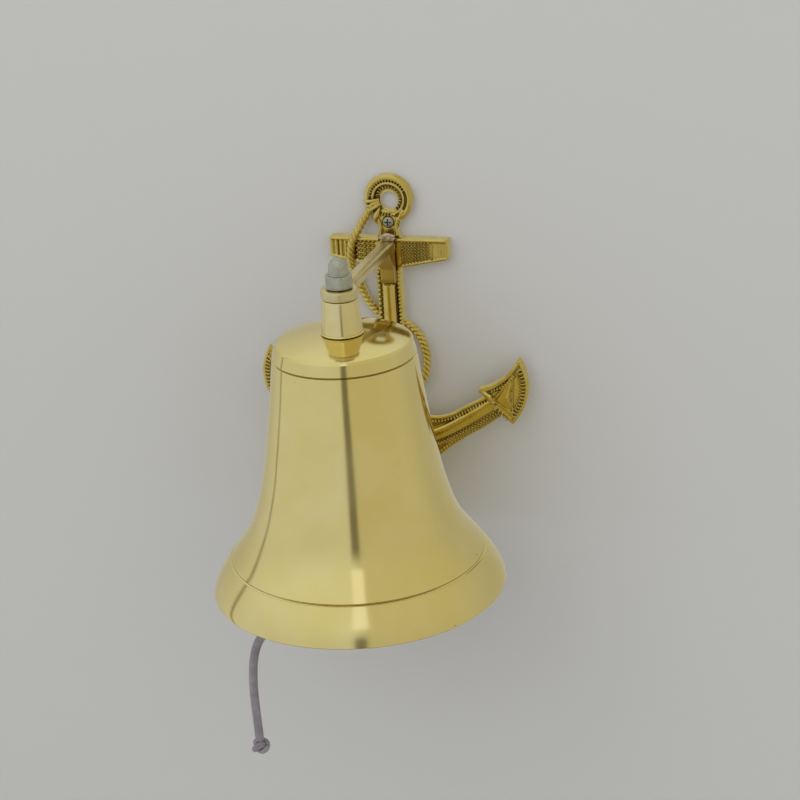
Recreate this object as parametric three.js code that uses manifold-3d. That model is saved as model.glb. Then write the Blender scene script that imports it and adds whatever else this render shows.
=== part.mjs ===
// Ship bell hung on a wall bracket cast as an anchor, in millimetres.
// X runs along the wall, the wall is the plane y = 0 with the bell on its -y side, and +Z is up.
// The origin is on the back of the anchor, where its stock crosses its shank.
import * as THREE from 'three';
import { mergeVertices } from 'three/addons/utils/BufferGeometryUtils.js';
import Module from 'manifold-3d';

const wasm = await Module();
wasm.setup();

// ---- driving dimensions ----------------------------------------------------------------------
const SEAT_GAP = 0.3; // between pieces that touch
const PIN_GAP = 0.3; // all round a stud in its hole

// anchor casting
const STOCK_HALF_LENGTH = 32.6;
const STOCK_TOP = 5.7;
const STOCK_END_BOTTOM = -5.1;
const STOCK_MIDDLE_BOTTOM = -10.2;
const STOCK_DEPTH = 7;
const SHANK_HALF_WIDTH = 7.2;
const SHANK_DEPTH = 6;
const SHANK_RIDGE_RADIUS = 3.5;
const ARM_STANDOFF = 8.5; // arms and flukes clear the wall by this
const ARM_FLANGE_DEPTH = 12;
const ARM_RIDGE_RADIUS = 3.3;
const ARM_RIDGE_SQUASH = 0.6; // the ridge is a flattened round
const ARM_RIDGE_SINK = 0.8;
const CROWN_BLOCK = [-90, -128]; // top and bottom of the block that joins the arms to the wall
const FLUKE_DEPTH = 14;
const FLUKE_FACET_RISE = 2.4;
const RING_RADIUS = 13.3;
const RING_HOLE_RADIUS = 5;
const RING_HOLE_DROP = 1.4; // the hole sits this much below the ring's middle
const RING_DEPTH = 5;
const RING_CENTRE = [0.8, 26.7];
const NECK_HALF_WIDTH = 4.9;
const CASTING_BEVEL = 0.9;
const CAST_ROPE_RADIUS = 2.3;
const CROWN_TIP = -132;

// wall screws
const SCREW_HEIGHTS = { wall_screw_upper: 14, wall_screw_lower: -121 };
const SCREW_HEAD_RADIUS = 3.1;
const SCREW_SHANK_RADIUS = 1.6;
const SCREW_LENGTH = 28;
const SCREW_SEAT = 2; // metal between the wall and the screw's head

// bracket arm with the eye that carries the bell
const ARM_REACH = 86; // wall to the bell's axis
const ARM_HEIGHT = 2.5; // middle of the bar above the origin
const ARM_WIDTH = 7.6;
const ARM_THICKNESS = 5.2;
const EYE_RADIUS = 9.6;
const ARM_FOOT_BOTTOM = -18;
const ARM_FOOT_HALF_WIDTH = 3.9;
const ARM_FOOT_DEPTH = 3.4;
const GUSSET_REACH = 11;

// stud, nuts and washer, all M8
const STUD_RADIUS = 4;
const NUT_ACROSS_FLATS = 13;
const ACORN_HEX_HEIGHT = 6.8;
const ACORN_TURN = Math.PI / 7.5; // how far the nut was turned when it came tight
const ACORN_DOME_RADIUS = 5.2;
const ACORN_DOME_NECK = 3.6;
const INNER_NUT_HEIGHT = 6.5;
const WASHER_RADIUS = 10;
const WASHER_THICKNESS = 1.6;
const BOLT_EYE_RADIUS = 6; // to the middle of its wire
const BOLT_WIRE_RADIUS = 2.2;

// boss between the arm and the bell
const BOSS_HEIGHT = 18;
const BOSS_TOP_RADIUS = 9.1;
const BOSS_BOTTOM_RADIUS = 10.5;
const BOSS_FOOT_RADIUS = 10.9;
const BOSS_FOOT_HEIGHT = 1.6;

// bell, heights above the lip
const MOUTH_RADIUS = 76;
const BELL_HEIGHT = 137.3;
const BOW_HEIGHT = 19; // lower groove, at the top of the sound bow
const BOW_FLARE = 10; // how much wider the mouth is than the lower groove
const CROWN_BAND = 10.8; // from the upper groove up to the crown
const SHOULDER_RADIUS = 36.4;
const CROWN_EDGE_INSET = 1.2; // crown edge inside the upper groove
const CROWN_EDGE_ROUND = 2.4;
const CROWN_DROP = 3.2; // the crown is domed, and falls this far from the boss to its edge
const GROOVE_HALF_WIDTH = 0.5;
const GROOVE_DEPTH = 0.6;
const LIP_WALL = 1.4;
const BOW_WALL = 4.4;
const WAIST_WALL = 2.8;
const CROWN_WALL = 4.2;

// clapper, lengths measured down from where it hangs
const LINK_WIRE_RADIUS = 1.7;
const LINK_HALF_WIDTH = 5; // to the middle of its wire
const LINK_STRAIGHT = 9;
const LOOP_WIRE_RADIUS = 1.8;
const LOOP_RADIUS = 5; // to the middle of its wire
const ROD_RADIUS = 3.2;
const ROD_TIP_RADIUS = 2.6; // through the ball
const BALL_RADIUS = 13;
const BALL_HEIGHT = 9; // its centre above the lip
const BALL_FLAT = 0.8; // turned off at each pole
const LOCK_NUT_ACROSS_FLATS = 10;
const LOCK_NUT_HEIGHT = 3.6;
const TAIL_RADIUS = 6;
const TAIL_THICKNESS = 5;

// lanyard
const CORD_RADIUS = 2.5;
const KNOT_RADIUS = 5.2;

// ---- shared geometry helpers -----------------------------------------------------------------
const FULL = 2 * Math.PI;

/** Turns a geometry inside out when its faces point inwards. */
function outward(geometry) {
  const merged = mergeVertices(geometry.deleteAttribute('normal').deleteAttribute('uv'), 1e-4);
  const place = merged.getAttribute('position');
  const index = Array.from(merged.getIndex().array);
  const [a, b, c] = [new THREE.Vector3(), new THREE.Vector3(), new THREE.Vector3()];
  let volume = 0;
  const kept = [];
  for (let i = 0; i < index.length; i += 3) {
    const [p, q, r] = index.slice(i, i + 3);
    if (p === q || q === r || r === p) continue;
    a.fromBufferAttribute(place, p);
    b.fromBufferAttribute(place, q);
    c.fromBufferAttribute(place, r);
    volume += a.dot(b.clone().cross(c));
    kept.push(p, q, r);
  }
  if (volume < 0) kept.reverse();
  merged.setIndex(kept);
  return merged;
}

/** A closed geometry as a solid that can be joined and cut. */
function solid(geometry) {
  const closed = outward(geometry);
  return new wasm.Manifold(new wasm.Mesh({
    numProp: 3,
    vertProperties: new Float32Array(closed.getAttribute('position').array),
    triVerts: new Uint32Array(closed.getIndex().array),
  }));
}

/** A solid back as a geometry. */
function geometryOf(body) {
  const mesh = body.getMesh();
  const geometry = new THREE.BufferGeometry();
  geometry.setAttribute('position', new THREE.BufferAttribute(new Float32Array(mesh.vertProperties), 3));
  geometry.setIndex(Array.from(mesh.triVerts));
  return geometry;
}

/** Joins several geometries into one solid. */
function joined(geometries) {
  return geometries.map(solid).reduce((all, next) => all.add(next));
}

/** A closed profile of [radius, height] points turned about the Z axis. */
function turned(profile, segments) {
  const points = profile.map(([radius, height]) => new THREE.Vector2(radius, height));
  return new THREE.LatheGeometry(points, segments).rotateX(Math.PI / 2);
}

/** A disc with flat ends, standing on its base, along Z. */
function cylinder(radius, bottom, top, segments) {
  const height = top - bottom;
  return new THREE.CylinderGeometry(radius, radius, height, segments)
    .rotateX(Math.PI / 2).translate(0, 0, bottom + height / 2);
}

/** A box given by its lowest and highest corners. */
function box([x0, y0, z0], [x1, y1, z1]) {
  return new THREE.BoxGeometry(x1 - x0, y1 - y0, z1 - z0)
    .translate((x0 + x1) / 2, (y0 + y1) / 2, (z0 + z1) / 2);
}

/** A round bar along a curve, closed at both ends or running round a loop. */
function bar(curve, radius, steps, sides) {
  const section = new THREE.Shape();
  for (let i = 0; i < sides; i += 1) {
    const angle = (i / sides) * FULL;
    const point = [radius * Math.cos(angle), radius * Math.sin(angle)];
    if (i === 0) section.moveTo(...point);
    else section.lineTo(...point);
  }
  return new THREE.ExtrudeGeometry(section, { steps, extrudePath: curve, bevelEnabled: false });
}

/** A smooth curve through [x, y, z] points. */
function route(points) {
  return new THREE.CatmullRomCurve3(points.map((p) => new THREE.Vector3(...p)), false, 'centripetal');
}

/** A hexagon along Z with a hole through it, one corner turned by an angle away from -Y. */
function hexNut(acrossFlats, bottom, height, hole, turn) {
  const corner = acrossFlats / 2 / Math.cos(Math.PI / 6);
  const body = solid(cylinder(corner, bottom, bottom + height, 6).rotateZ(turn));
  return body.subtract(solid(cylinder(hole, bottom - 1, bottom + height + 1, 24)));
}

// ---- heights that follow from the driving dimensions -------------------------------------------
const eyeTop = ARM_HEIGHT + ARM_THICKNESS / 2;
const eyeBottom = ARM_HEIGHT - ARM_THICKNESS / 2;
const bossTop = eyeBottom - SEAT_GAP;
const crownTop = bossTop - BOSS_HEIGHT - SEAT_GAP;
const bowRadius = MOUTH_RADIUS - BOW_FLARE;
const shoulderGrooveHeight = BELL_HEIGHT - CROWN_BAND;
const crownEdgeRadius = SHOULDER_RADIUS - CROWN_EDGE_INSET;
const crownEdge = BELL_HEIGHT - CROWN_DROP;
const crownSeat = BOSS_FOOT_RADIUS + 1; // radius of the flat that the boss stands on
const lip = crownTop - BELL_HEIGHT;
const washerTop = crownTop - CROWN_WALL - SEAT_GAP;
const innerNutTop = washerTop - WASHER_THICKNESS - SEAT_GAP;
const boltEyeHeight = innerNutTop - INNER_NUT_HEIGHT - SEAT_GAP - BOLT_WIRE_RADIUS - BOLT_EYE_RADIUS;
// the link hangs on the lowest part of the bolt's eye, and the clapper's loop on the link
const linkPivot = boltEyeHeight - BOLT_EYE_RADIUS + BOLT_WIRE_RADIUS + SEAT_GAP + LINK_WIRE_RADIUS;
const linkLow = linkPivot - LINK_STRAIGHT - 2 * LINK_HALF_WIDTH;
const loopPivot = linkLow + LINK_WIRE_RADIUS + SEAT_GAP + LOOP_WIRE_RADIUS;
const loopCentre = loopPivot - LOOP_RADIUS;
const ballHeight = lip + BALL_HEIGHT;
const ballTop = ballHeight + BALL_RADIUS - BALL_FLAT;
const ballBottom = ballHeight - BALL_RADIUS + BALL_FLAT;
const lockNutTop = ballBottom - SEAT_GAP;
const lockNutBottom = lockNutTop - LOCK_NUT_HEIGHT;
const tailHeight = lockNutBottom - SEAT_GAP - TAIL_RADIUS;
const studHole = STUD_RADIUS + PIN_GAP;
const cordHole = CORD_RADIUS + PIN_GAP;

// ---- anchor casting ----------------------------------------------------------------------------

/** An outline in (x, z), cast against the wall to a depth, with its front edge bevelled. */
function plate(outline, depth, bevel, detail = 12) {
  return new THREE.ExtrudeGeometry(outline, {
    depth: depth - bevel,
    bevelThickness: bevel,
    bevelSize: bevel,
    bevelOffset: -bevel,
    bevelSegments: 1,
    curveSegments: detail,
  }).rotateX(Math.PI / 2);
}

/** A plate whose back stands clear of the wall, as the arms and flukes do. */
function raised(outline, depth, bevel, detail) {
  return plate(outline, depth - ARM_STANDOFF, bevel, detail).translate(0, -ARM_STANDOFF, 0);
}

function polygon(points) {
  return new THREE.Shape(points.map(([x, z]) => new THREE.Vector2(x, z)));
}

function mirrored(points) {
  return points.map(([x, z]) => [-x, z]).reverse();
}

function ringOutline() {
  const outline = new THREE.Shape();
  outline.absarc(...RING_CENTRE, RING_RADIUS, 0, FULL);
  return outline;
}

function neckOutline() {
  const top = RING_CENTRE[1] - RING_HOLE_RADIUS - 2;
  const flare = NECK_HALF_WIDTH + 3;
  return polygon([
    [-flare, STOCK_TOP - 2], [flare, STOCK_TOP - 2], [NECK_HALF_WIDTH, STOCK_TOP + 3],
    [flare, top], [-flare, top], [-NECK_HALF_WIDTH, STOCK_TOP + 3],
  ]);
}

function stockOutline() {
  const half = [
    [SHANK_HALF_WIDTH, STOCK_MIDDLE_BOTTOM],
    [STOCK_HALF_LENGTH, STOCK_END_BOTTOM],
    [STOCK_HALF_LENGTH, STOCK_TOP],
  ];
  return polygon([...half, ...mirrored(half)]);
}

// upper and lower edges of the right arm, from the shank out to the fluke
const armTop = [[SHANK_HALF_WIDTH, -86], [13.7, -91], [21.7, -92.5], [30.6, -90.4], [39.1, -85.5], [54.7, -77]];
const armLow = [[58.7, -90.4], [49.4, -97.2], [41, -102.6], [32.4, -108.4], [24.2, -115.2], [11.8, -125.6]];

function armsOutline() {
  const outline = new THREE.Shape();
  outline.moveTo(...armTop[0]);
  outline.splineThru(armTop.slice(1).map((p) => new THREE.Vector2(...p)));
  outline.lineTo(...armLow[0]);
  outline.splineThru(armLow.slice(1).map((p) => new THREE.Vector2(...p)));
  outline.lineTo(0, CROWN_TIP);
  const low = mirrored(armLow);
  outline.lineTo(...low[0]);
  outline.splineThru(low.slice(1).map((p) => new THREE.Vector2(...p)));
  const top = mirrored(armTop);
  outline.lineTo(...top[0]);
  outline.splineThru(top.slice(1).map((p) => new THREE.Vector2(...p)));
  return outline;
}

/** The ridge runs down the middle of each arm, from the shank to the fluke. */
function armRidge(side) {
  const points = [[0, -110], [14.7, -105.4], [26.7, -100.4], [39.7, -93], [50.7, -86], [55.7, -82.6]];
  return bar(route(points.map(([x, z]) => [side * x, 0, z])), ARM_RIDGE_RADIUS, 10, 12)
    .scale(1, ARM_RIDGE_SQUASH, 1).translate(0, ARM_RIDGE_SINK - ARM_FLANGE_DEPTH, 0);
}

/** The block behind the arms, which carries the pull of the lower screw to the wall. */
function crownBlock() {
  const [top, bottom] = CROWN_BLOCK;
  const outline = polygon([
    [-SHANK_HALF_WIDTH, bottom], [SHANK_HALF_WIDTH, bottom], [SHANK_HALF_WIDTH, top], [-SHANK_HALF_WIDTH, top],
  ]);
  return plate(outline, ARM_STANDOFF + 1, CASTING_BEVEL);
}

function flukeOutline(side) {
  const outline = new THREE.Shape();
  const x = (value) => side * value;
  outline.moveTo(x(47.5), -74); // inner barb
  outline.quadraticCurveTo(x(61.7), -71, x(70.1), -55.9); // hollow upper edge to the top tip
  outline.quadraticCurveTo(x(81.7), -75, x(65.4), -94.4); // bulging outer edge to the lower tip
  outline.lineTo(x(57), -86.5);
  outline.lineTo(x(51), -78);
  return outline;
}

/** The raised three-cornered face in the middle of a fluke. */
function flukeFacet(side) {
  const facet = polygon([[side * 53.8, -80.5], [side * 67.3, -64.5], [side * 65.6, -87.8]]);
  return raised(facet, FLUKE_DEPTH + FLUKE_FACET_RISE, FLUKE_FACET_RISE);
}

/** Cast rope, from the ring over the stock, behind the shank and out to the right. */
function castRope() {
  const low = -CAST_ROPE_RADIUS;
  const over = -STOCK_DEPTH - 0.7;
  return bar(route([
    [-7.5, low - 2.4, 23], [-10.5, low - 1.5, 19], [-15.5, low - 2, 11.5], [-19.3, over, 4],
    [-20.8, over, -4], [-20.6, low - 3, -11.5], [-18.8, low, -20], [-14.5, low, -30.5],
    [-8, low, -38], [0, low, -41], [7, low, -43.2], [12.5, low, -48], [15.8, low, -55.5],
    [16.8, low, -64], [15.2, low, -72], [11, low, -79],
  ]), CAST_ROPE_RADIUS, 31, 8);
}

/** The seat of a wall screw: a hole through, opening into a cone for its head. */
function screwSeat(height) {
  const front = ARM_FLANGE_DEPTH + ARM_RIDGE_RADIUS + 1; // clear of all the metal in front
  const hole = new THREE.CylinderGeometry(
    SCREW_SHANK_RADIUS + PIN_GAP, SCREW_SHANK_RADIUS + PIN_GAP, 2 * front, 16,
  );
  const pocket = new THREE.CylinderGeometry(
    SCREW_HEAD_RADIUS + PIN_GAP, SCREW_HEAD_RADIUS + PIN_GAP, front - SCREW_SEAT, 16,
  ).translate(0, -(front + SCREW_SEAT) / 2, 0);
  return solid(hole).add(solid(pocket)).translate([0, 0, height]);
}

function anchorCasting() {
  const shank = polygon([
    [-SHANK_HALF_WIDTH, -118], [SHANK_HALF_WIDTH, -118],
    [SHANK_HALF_WIDTH, STOCK_TOP - 3], [-SHANK_HALF_WIDTH, STOCK_TOP - 3],
  ]);
  const ridgeTop = ARM_FOOT_BOTTOM - SEAT_GAP - 1;
  const ridge = cylinder(SHANK_RIDGE_RADIUS, -112, ridgeTop, 14).translate(0, -SHANK_DEPTH, 0);
  let casting = joined([
    plate(ringOutline(), RING_DEPTH, CASTING_BEVEL, 16),
    plate(neckOutline(), RING_DEPTH, CASTING_BEVEL),
    plate(stockOutline(), STOCK_DEPTH, CASTING_BEVEL),
    plate(shank, SHANK_DEPTH, CASTING_BEVEL),
    ridge,
    raised(armsOutline(), ARM_FLANGE_DEPTH, CASTING_BEVEL, 3),
    crownBlock(),
    armRidge(1),
    armRidge(-1),
    raised(flukeOutline(1), FLUKE_DEPTH, CASTING_BEVEL, 6),
    raised(flukeOutline(-1), FLUKE_DEPTH, CASTING_BEVEL, 6),
    flukeFacet(1),
    flukeFacet(-1),
    castRope(),
  ]);
  const ringHole = new THREE.CylinderGeometry(RING_HOLE_RADIUS, RING_HOLE_RADIUS, 4 * RING_DEPTH, 20)
    .translate(RING_CENTRE[0], 0, RING_CENTRE[1] - RING_HOLE_DROP);
  casting = casting.subtract(solid(ringHole));
  for (const height of Object.values(SCREW_HEIGHTS)) casting = casting.subtract(screwSeat(height));
  const wall = solid(box([-200, 0, -300], [200, 40, 100]));
  return geometryOf(casting.subtract(wall));
}

/** A raised-head screw along Y, its head seated in the casting and its point in the wall. */
function wallScrew() {
  const seat = SCREW_SEAT + SEAT_GAP; // underside of the head, in front of the wall
  const profile = [
    [0, -SCREW_LENGTH + seat], [SCREW_SHANK_RADIUS, -SCREW_LENGTH + seat + 4], [SCREW_SHANK_RADIUS, seat],
    [SCREW_HEAD_RADIUS, seat], [SCREW_HEAD_RADIUS, seat + 1.6], [SCREW_HEAD_RADIUS * 0.7, seat + 2.4],
    [0, seat + 2.7],
  ];
  const points = profile.map(([radius, reach]) => new THREE.Vector2(radius, -reach));
  const body = solid(new THREE.LatheGeometry(points, 16));
  const slot = { width: 0.7, length: 3.6, floor: seat + 1.2 };
  const cut = (dx, dz) => solid(box([-dx / 2, -seat - 4, -dz / 2], [dx / 2, -slot.floor, dz / 2]));
  return geometryOf(body.subtract(cut(slot.width, slot.length)).subtract(cut(slot.length, slot.width)));
}

// ---- bracket arm -------------------------------------------------------------------------------

function bracketArm() {
  const back = -STOCK_DEPTH - SEAT_GAP;
  const corner = 1.4;
  const [halfWidth, halfHeight] = [ARM_WIDTH / 2, ARM_THICKNESS / 2];
  const section = new THREE.Shape();
  section.moveTo(-halfWidth + corner, -halfHeight);
  section.lineTo(halfWidth - corner, -halfHeight);
  section.quadraticCurveTo(halfWidth, -halfHeight, halfWidth, -halfHeight + corner);
  section.lineTo(halfWidth, halfHeight - corner);
  section.quadraticCurveTo(halfWidth, halfHeight, halfWidth - corner, halfHeight);
  section.lineTo(-halfWidth + corner, halfHeight);
  section.quadraticCurveTo(-halfWidth, halfHeight, -halfWidth, halfHeight - corner);
  section.lineTo(-halfWidth, -halfHeight + corner);
  section.quadraticCurveTo(-halfWidth, -halfHeight, -halfWidth + corner, -halfHeight);
  const beam = new THREE.ExtrudeGeometry(section, {
    depth: ARM_REACH + back, bevelEnabled: false, curveSegments: 3,
  }).rotateX(Math.PI / 2).translate(0, back, ARM_HEIGHT);
  // the foot and its gusset, drawn in (y, z) and extruded along X
  const foot = polygon([
    [back, ARM_FOOT_BOTTOM], [back - ARM_FOOT_DEPTH + 1, ARM_FOOT_BOTTOM],
    [back - ARM_FOOT_DEPTH, ARM_FOOT_BOTTOM + 2], [back - ARM_FOOT_DEPTH, -10],
    [back - GUSSET_REACH, ARM_HEIGHT - 1], [back - GUSSET_REACH, ARM_HEIGHT + 1.5],
    [back, ARM_HEIGHT + 1.5],
  ]);
  const footBody = new THREE.ExtrudeGeometry(foot, {
    depth: 2 * ARM_FOOT_HALF_WIDTH, bevelEnabled: false,
  }).applyMatrix4(new THREE.Matrix4().set(
    0, 0, 1, -ARM_FOOT_HALF_WIDTH,
    1, 0, 0, 0,
    0, 1, 0, 0,
    0, 0, 0, 1,
  ));
  const eye = cylinder(EYE_RADIUS, eyeBottom, eyeTop, 32).translate(0, -ARM_REACH, 0);
  const hole = cylinder(studHole, eyeBottom - 1, eyeTop + 1, 24).translate(0, -ARM_REACH, 0);
  return geometryOf(joined([beam, footBody, eye]).subtract(solid(hole)));
}

/** The bead of braze that is left on top of the arm's root, in front of the neck. */
function brazeBead() {
  return new THREE.SphereGeometry(1, 14, 8).scale(4.4, 1.5, 2)
    .translate(0, -STOCK_DEPTH - 1.6, eyeTop + 2.4);
}

// ---- bell, boss and their fixings --------------------------------------------------------------

function crownBoss() {
  return turned([
    [studHole, 0], [BOSS_FOOT_RADIUS, 0], [BOSS_FOOT_RADIUS, 0.5],
    [BOSS_BOTTOM_RADIUS + 0.2, BOSS_FOOT_HEIGHT], [BOSS_TOP_RADIUS, BOSS_HEIGHT],
    [studHole, BOSS_HEIGHT], [studHole, 0],
  ], 36);
}

/** Points of the bell's outside, from the lip up to the crown, with both grooves. */
function bellOutside() {
  const bow = new THREE.CubicBezierCurve(
    new THREE.Vector2(MOUTH_RADIUS, 1),
    new THREE.Vector2(MOUTH_RADIUS - 0.2, BOW_HEIGHT * 0.26),
    new THREE.Vector2(bowRadius + 4.8, BOW_HEIGHT * 0.66),
    new THREE.Vector2(bowRadius, BOW_HEIGHT),
  );
  const rise = shoulderGrooveHeight - BOW_HEIGHT;
  const fall = bowRadius - SHOULDER_RADIUS;
  // share of the rise, and share of the narrowing that is left there
  const waist = [
    [0.105, 0.7], [0.195, 0.53], [0.29, 0.436], [0.38, 0.345], [0.57, 0.222], [0.755, 0.115], [1, 0],
  ];
  const side = new THREE.SplineCurve([
    new THREE.Vector2(bowRadius, BOW_HEIGHT),
    ...waist.map(([up, left]) => new THREE.Vector2(SHOULDER_RADIUS + fall * left, BOW_HEIGHT + rise * up)),
  ]);
  const groove = (radius, height) => [
    [radius + GROOVE_HALF_WIDTH * 0.6, height - GROOVE_HALF_WIDTH],
    [radius - GROOVE_DEPTH, height],
    [radius - GROOVE_HALF_WIDTH * 0.2, height + GROOVE_HALF_WIDTH],
  ];
  const bowPoints = bow.getPoints(6).slice(0, -1).map((p) => [p.x, p.y]);
  const sidePoints = side.getPoints(10).slice(1, -1).map((p) => [p.x, p.y]);
  return [
    ...bowPoints,
    ...groove(bowRadius, BOW_HEIGHT),
    ...sidePoints,
    ...groove(SHOULDER_RADIUS, shoulderGrooveHeight),
    [crownEdgeRadius, crownEdge - CROWN_EDGE_ROUND],
    [crownEdgeRadius - CROWN_EDGE_ROUND * 0.25, crownEdge - CROWN_EDGE_ROUND * 0.35],
    [crownEdgeRadius - CROWN_EDGE_ROUND, crownEdge],
    [(crownEdgeRadius + crownSeat) / 2, BELL_HEIGHT - CROWN_DROP * 0.38],
    [crownSeat, BELL_HEIGHT],
  ];
}

function bellShell() {
  const outside = bellOutside();
  const radiusAt = (height) => {
    const above = outside.findIndex(([, z]) => z > height);
    const [[r0, z0], [r1, z1]] = [outside[above - 1], outside[above]];
    return r0 + ((r1 - r0) * (height - z0)) / (z1 - z0);
  };
  // wall thickness, measured level, at heights given as shares of the whole
  const walls = [
    [0.075, BOW_WALL], [0.16, BOW_WALL], [0.28, WAIST_WALL * 1.2], [0.42, WAIST_WALL],
    [0.62, WAIST_WALL], [0.82, WAIST_WALL], [0.9, WAIST_WALL],
  ];
  const inside = walls.map(([share, wall]) => [radiusAt(share * BELL_HEIGHT) - wall, share * BELL_HEIGHT]);
  const ceiling = BELL_HEIGHT - CROWN_WALL;
  const profile = [
    ...outside,
    [studHole, BELL_HEIGHT], [studHole, ceiling],
    [WASHER_RADIUS + 1, ceiling],
    [crownEdgeRadius - WAIST_WALL - 4, ceiling - CROWN_DROP * 0.7],
    [crownEdgeRadius - WAIST_WALL, ceiling - CROWN_DROP * 0.7 - 3],
    ...inside.reverse(),
    [MOUTH_RADIUS - LIP_WALL, 0], [MOUTH_RADIUS - LIP_WALL / 3, 0], outside[0],
  ];
  return turned(profile, 48);
}

function acornNut() {
  const dome = [
    [0, 0], [ACORN_DOME_RADIUS + 0.6, 0], [ACORN_DOME_RADIUS, ACORN_DOME_NECK],
    ...[0.25, 0.5, 0.75].map((turn) => [
      ACORN_DOME_RADIUS * Math.cos(turn * Math.PI / 2),
      ACORN_DOME_NECK + ACORN_DOME_RADIUS * Math.sin(turn * Math.PI / 2),
    ]),
    [0, ACORN_DOME_NECK + ACORN_DOME_RADIUS],
  ];
  const hex = hexNut(NUT_ACROSS_FLATS, 0, ACORN_HEX_HEIGHT, studHole, ACORN_TURN);
  const cap = solid(turned(dome, 24).translate(0, 0, ACORN_HEX_HEIGHT - 0.5));
  return geometryOf(hex.add(cap));
}

/** The stud with an eye at its lower end, which clamps the bell, and carries the clapper. */
function eyeBolt() {
  const top = eyeTop + SEAT_GAP + ACORN_HEX_HEIGHT - 0.5 - SEAT_GAP;
  const stud = cylinder(STUD_RADIUS, boltEyeHeight + BOLT_EYE_RADIUS, top, 24);
  const eye = new THREE.TorusGeometry(BOLT_EYE_RADIUS, BOLT_WIRE_RADIUS, 10, 24)
    .rotateY(Math.PI / 2).translate(0, 0, boltEyeHeight);
  return geometryOf(joined([stud, eye]));
}

function innerWasher() {
  return turned([
    [studHole, 0], [WASHER_RADIUS, 0], [WASHER_RADIUS, WASHER_THICKNESS],
    [studHole, WASHER_THICKNESS], [studHole, 0],
  ], 32);
}

// ---- clapper -----------------------------------------------------------------------------------

/** A wire round a flat closed loop of points in the XZ plane, as one ring of quads. */
function loopedWire(points, radius) {
  const sides = 10;
  const position = [];
  const index = [];
  const count = points.length;
  const middle = points.reduce((sum, p) => sum.add(p), new THREE.Vector3()).divideScalar(count);
  points.forEach((point, i) => {
    const before = points[(i + count - 1) % count];
    const after = points[(i + 1) % count];
    const along = after.clone().sub(before).normalize();
    const across = new THREE.Vector3(0, 1, 0).cross(along).normalize();
    if (across.dot(point.clone().sub(middle)) < 0) across.negate();
    for (let k = 0; k < sides; k += 1) {
      const angle = (k / sides) * FULL;
      const place = point.clone().addScaledVector(across, radius * Math.cos(angle));
      position.push(place.x, place.y + radius * Math.sin(angle), place.z);
      const [a, b] = [i * sides + k, i * sides + ((k + 1) % sides)];
      const [c, d] = [((i + 1) % count) * sides + k, ((i + 1) % count) * sides + ((k + 1) % sides)];
      index.push(a, b, d, a, d, c);
    }
  });
  const geometry = new THREE.BufferGeometry();
  geometry.setAttribute('position', new THREE.Float32BufferAttribute(position, 3));
  geometry.setIndex(index);
  return outward(geometry);
}

/** Closed link with two straight sides, in the XZ plane, its pivot at the origin. */
function clapperLink() {
  const centreHigh = -LINK_HALF_WIDTH;
  const centreLow = centreHigh - LINK_STRAIGHT;
  const points = [];
  for (let i = 0; i <= 8; i += 1) {
    const angle = (i / 8) * Math.PI;
    points.push([LINK_HALF_WIDTH * Math.cos(angle), centreHigh + LINK_HALF_WIDTH * Math.sin(angle)]);
  }
  for (let i = 0; i <= 8; i += 1) {
    const angle = Math.PI + (i / 8) * Math.PI;
    points.push([LINK_HALF_WIDTH * Math.cos(angle), centreLow + LINK_HALF_WIDTH * Math.sin(angle)]);
  }
  return loopedWire(points.map(([x, z]) => new THREE.Vector3(x, 0, z)), LINK_WIRE_RADIUS);
}

/** Loop, rod and tail eye in one casting. The rod steps down where the ball sits on it. */
function clapperRod() {
  const loop = new THREE.TorusGeometry(LOOP_RADIUS, LOOP_WIRE_RADIUS, 10, 24)
    .rotateY(Math.PI / 2).translate(0, 0, loopCentre);
  const rodTop = loopCentre - LOOP_RADIUS;
  const rod = cylinder(ROD_RADIUS, ballTop + SEAT_GAP, rodTop, 20);
  const tip = cylinder(ROD_TIP_RADIUS, tailHeight, ballTop + SEAT_GAP + 1, 20);
  const tail = new THREE.CylinderGeometry(TAIL_RADIUS, TAIL_RADIUS, TAIL_THICKNESS, 24)
    .rotateZ(Math.PI / 2).translate(0, 0, tailHeight);
  const hole = new THREE.CylinderGeometry(cordHole, cordHole, TAIL_THICKNESS + 2, 20)
    .rotateZ(Math.PI / 2).translate(0, 0, tailHeight);
  return geometryOf(joined([loop, rod, tip, tail]).subtract(solid(hole)));
}

function clapperBall() {
  const bore = ROD_TIP_RADIUS + PIN_GAP;
  const half = BALL_RADIUS - BALL_FLAT;
  const flat = Math.sqrt(BALL_RADIUS ** 2 - half ** 2);
  const start = Math.asin(half / BALL_RADIUS);
  const round = [];
  for (let i = 0; i <= 10; i += 1) {
    const angle = -start + (2 * start * i) / 10;
    round.push([BALL_RADIUS * Math.cos(angle), BALL_RADIUS * Math.sin(angle)]);
  }
  const profile = [
    [bore, -half], [flat, -half], ...round.slice(1, -1), [flat, half], [bore, half], [bore, -half],
  ];
  return turned(profile, 28);
}

// ---- lanyard -----------------------------------------------------------------------------------

// The cord's route, counted from the middle of the tail eye. It comes out of the stopper knot,
// runs through the eye, droops out to the left and hangs down to its end knot.
const CORD_ROUTE = [
  [3, 0, 0], [0, 0, 0], [-6.5, -0.1, -0.4], [-14, -0.7, -2], [-22.5, -1.7, -4.8], [-31, -2.8, -8],
  [-39.5, -4, -11.2], [-47.5, -5, -14.9], [-54.4, -5.8, -19.9], [-59, -6.4, -27.2],
  [-61.6, -6.6, -36], [-62.9, -6.7, -46], [-63.3, -6.7, -56], [-63.2, -6.6, -66],
  [-62.9, -6.5, -76], [-62.6, -6.4, -86],
];
const cordRoute = CORD_ROUTE.map(([x, y, z]) => [x, y - ARM_REACH, z + tailHeight]);

/** A knot as one rounded solid, flattened along its cord. */
function knot() {
  return new THREE.SphereGeometry(KNOT_RADIUS, 12, 8);
}

// ---- the assembly ------------------------------------------------------------------------------

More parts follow.
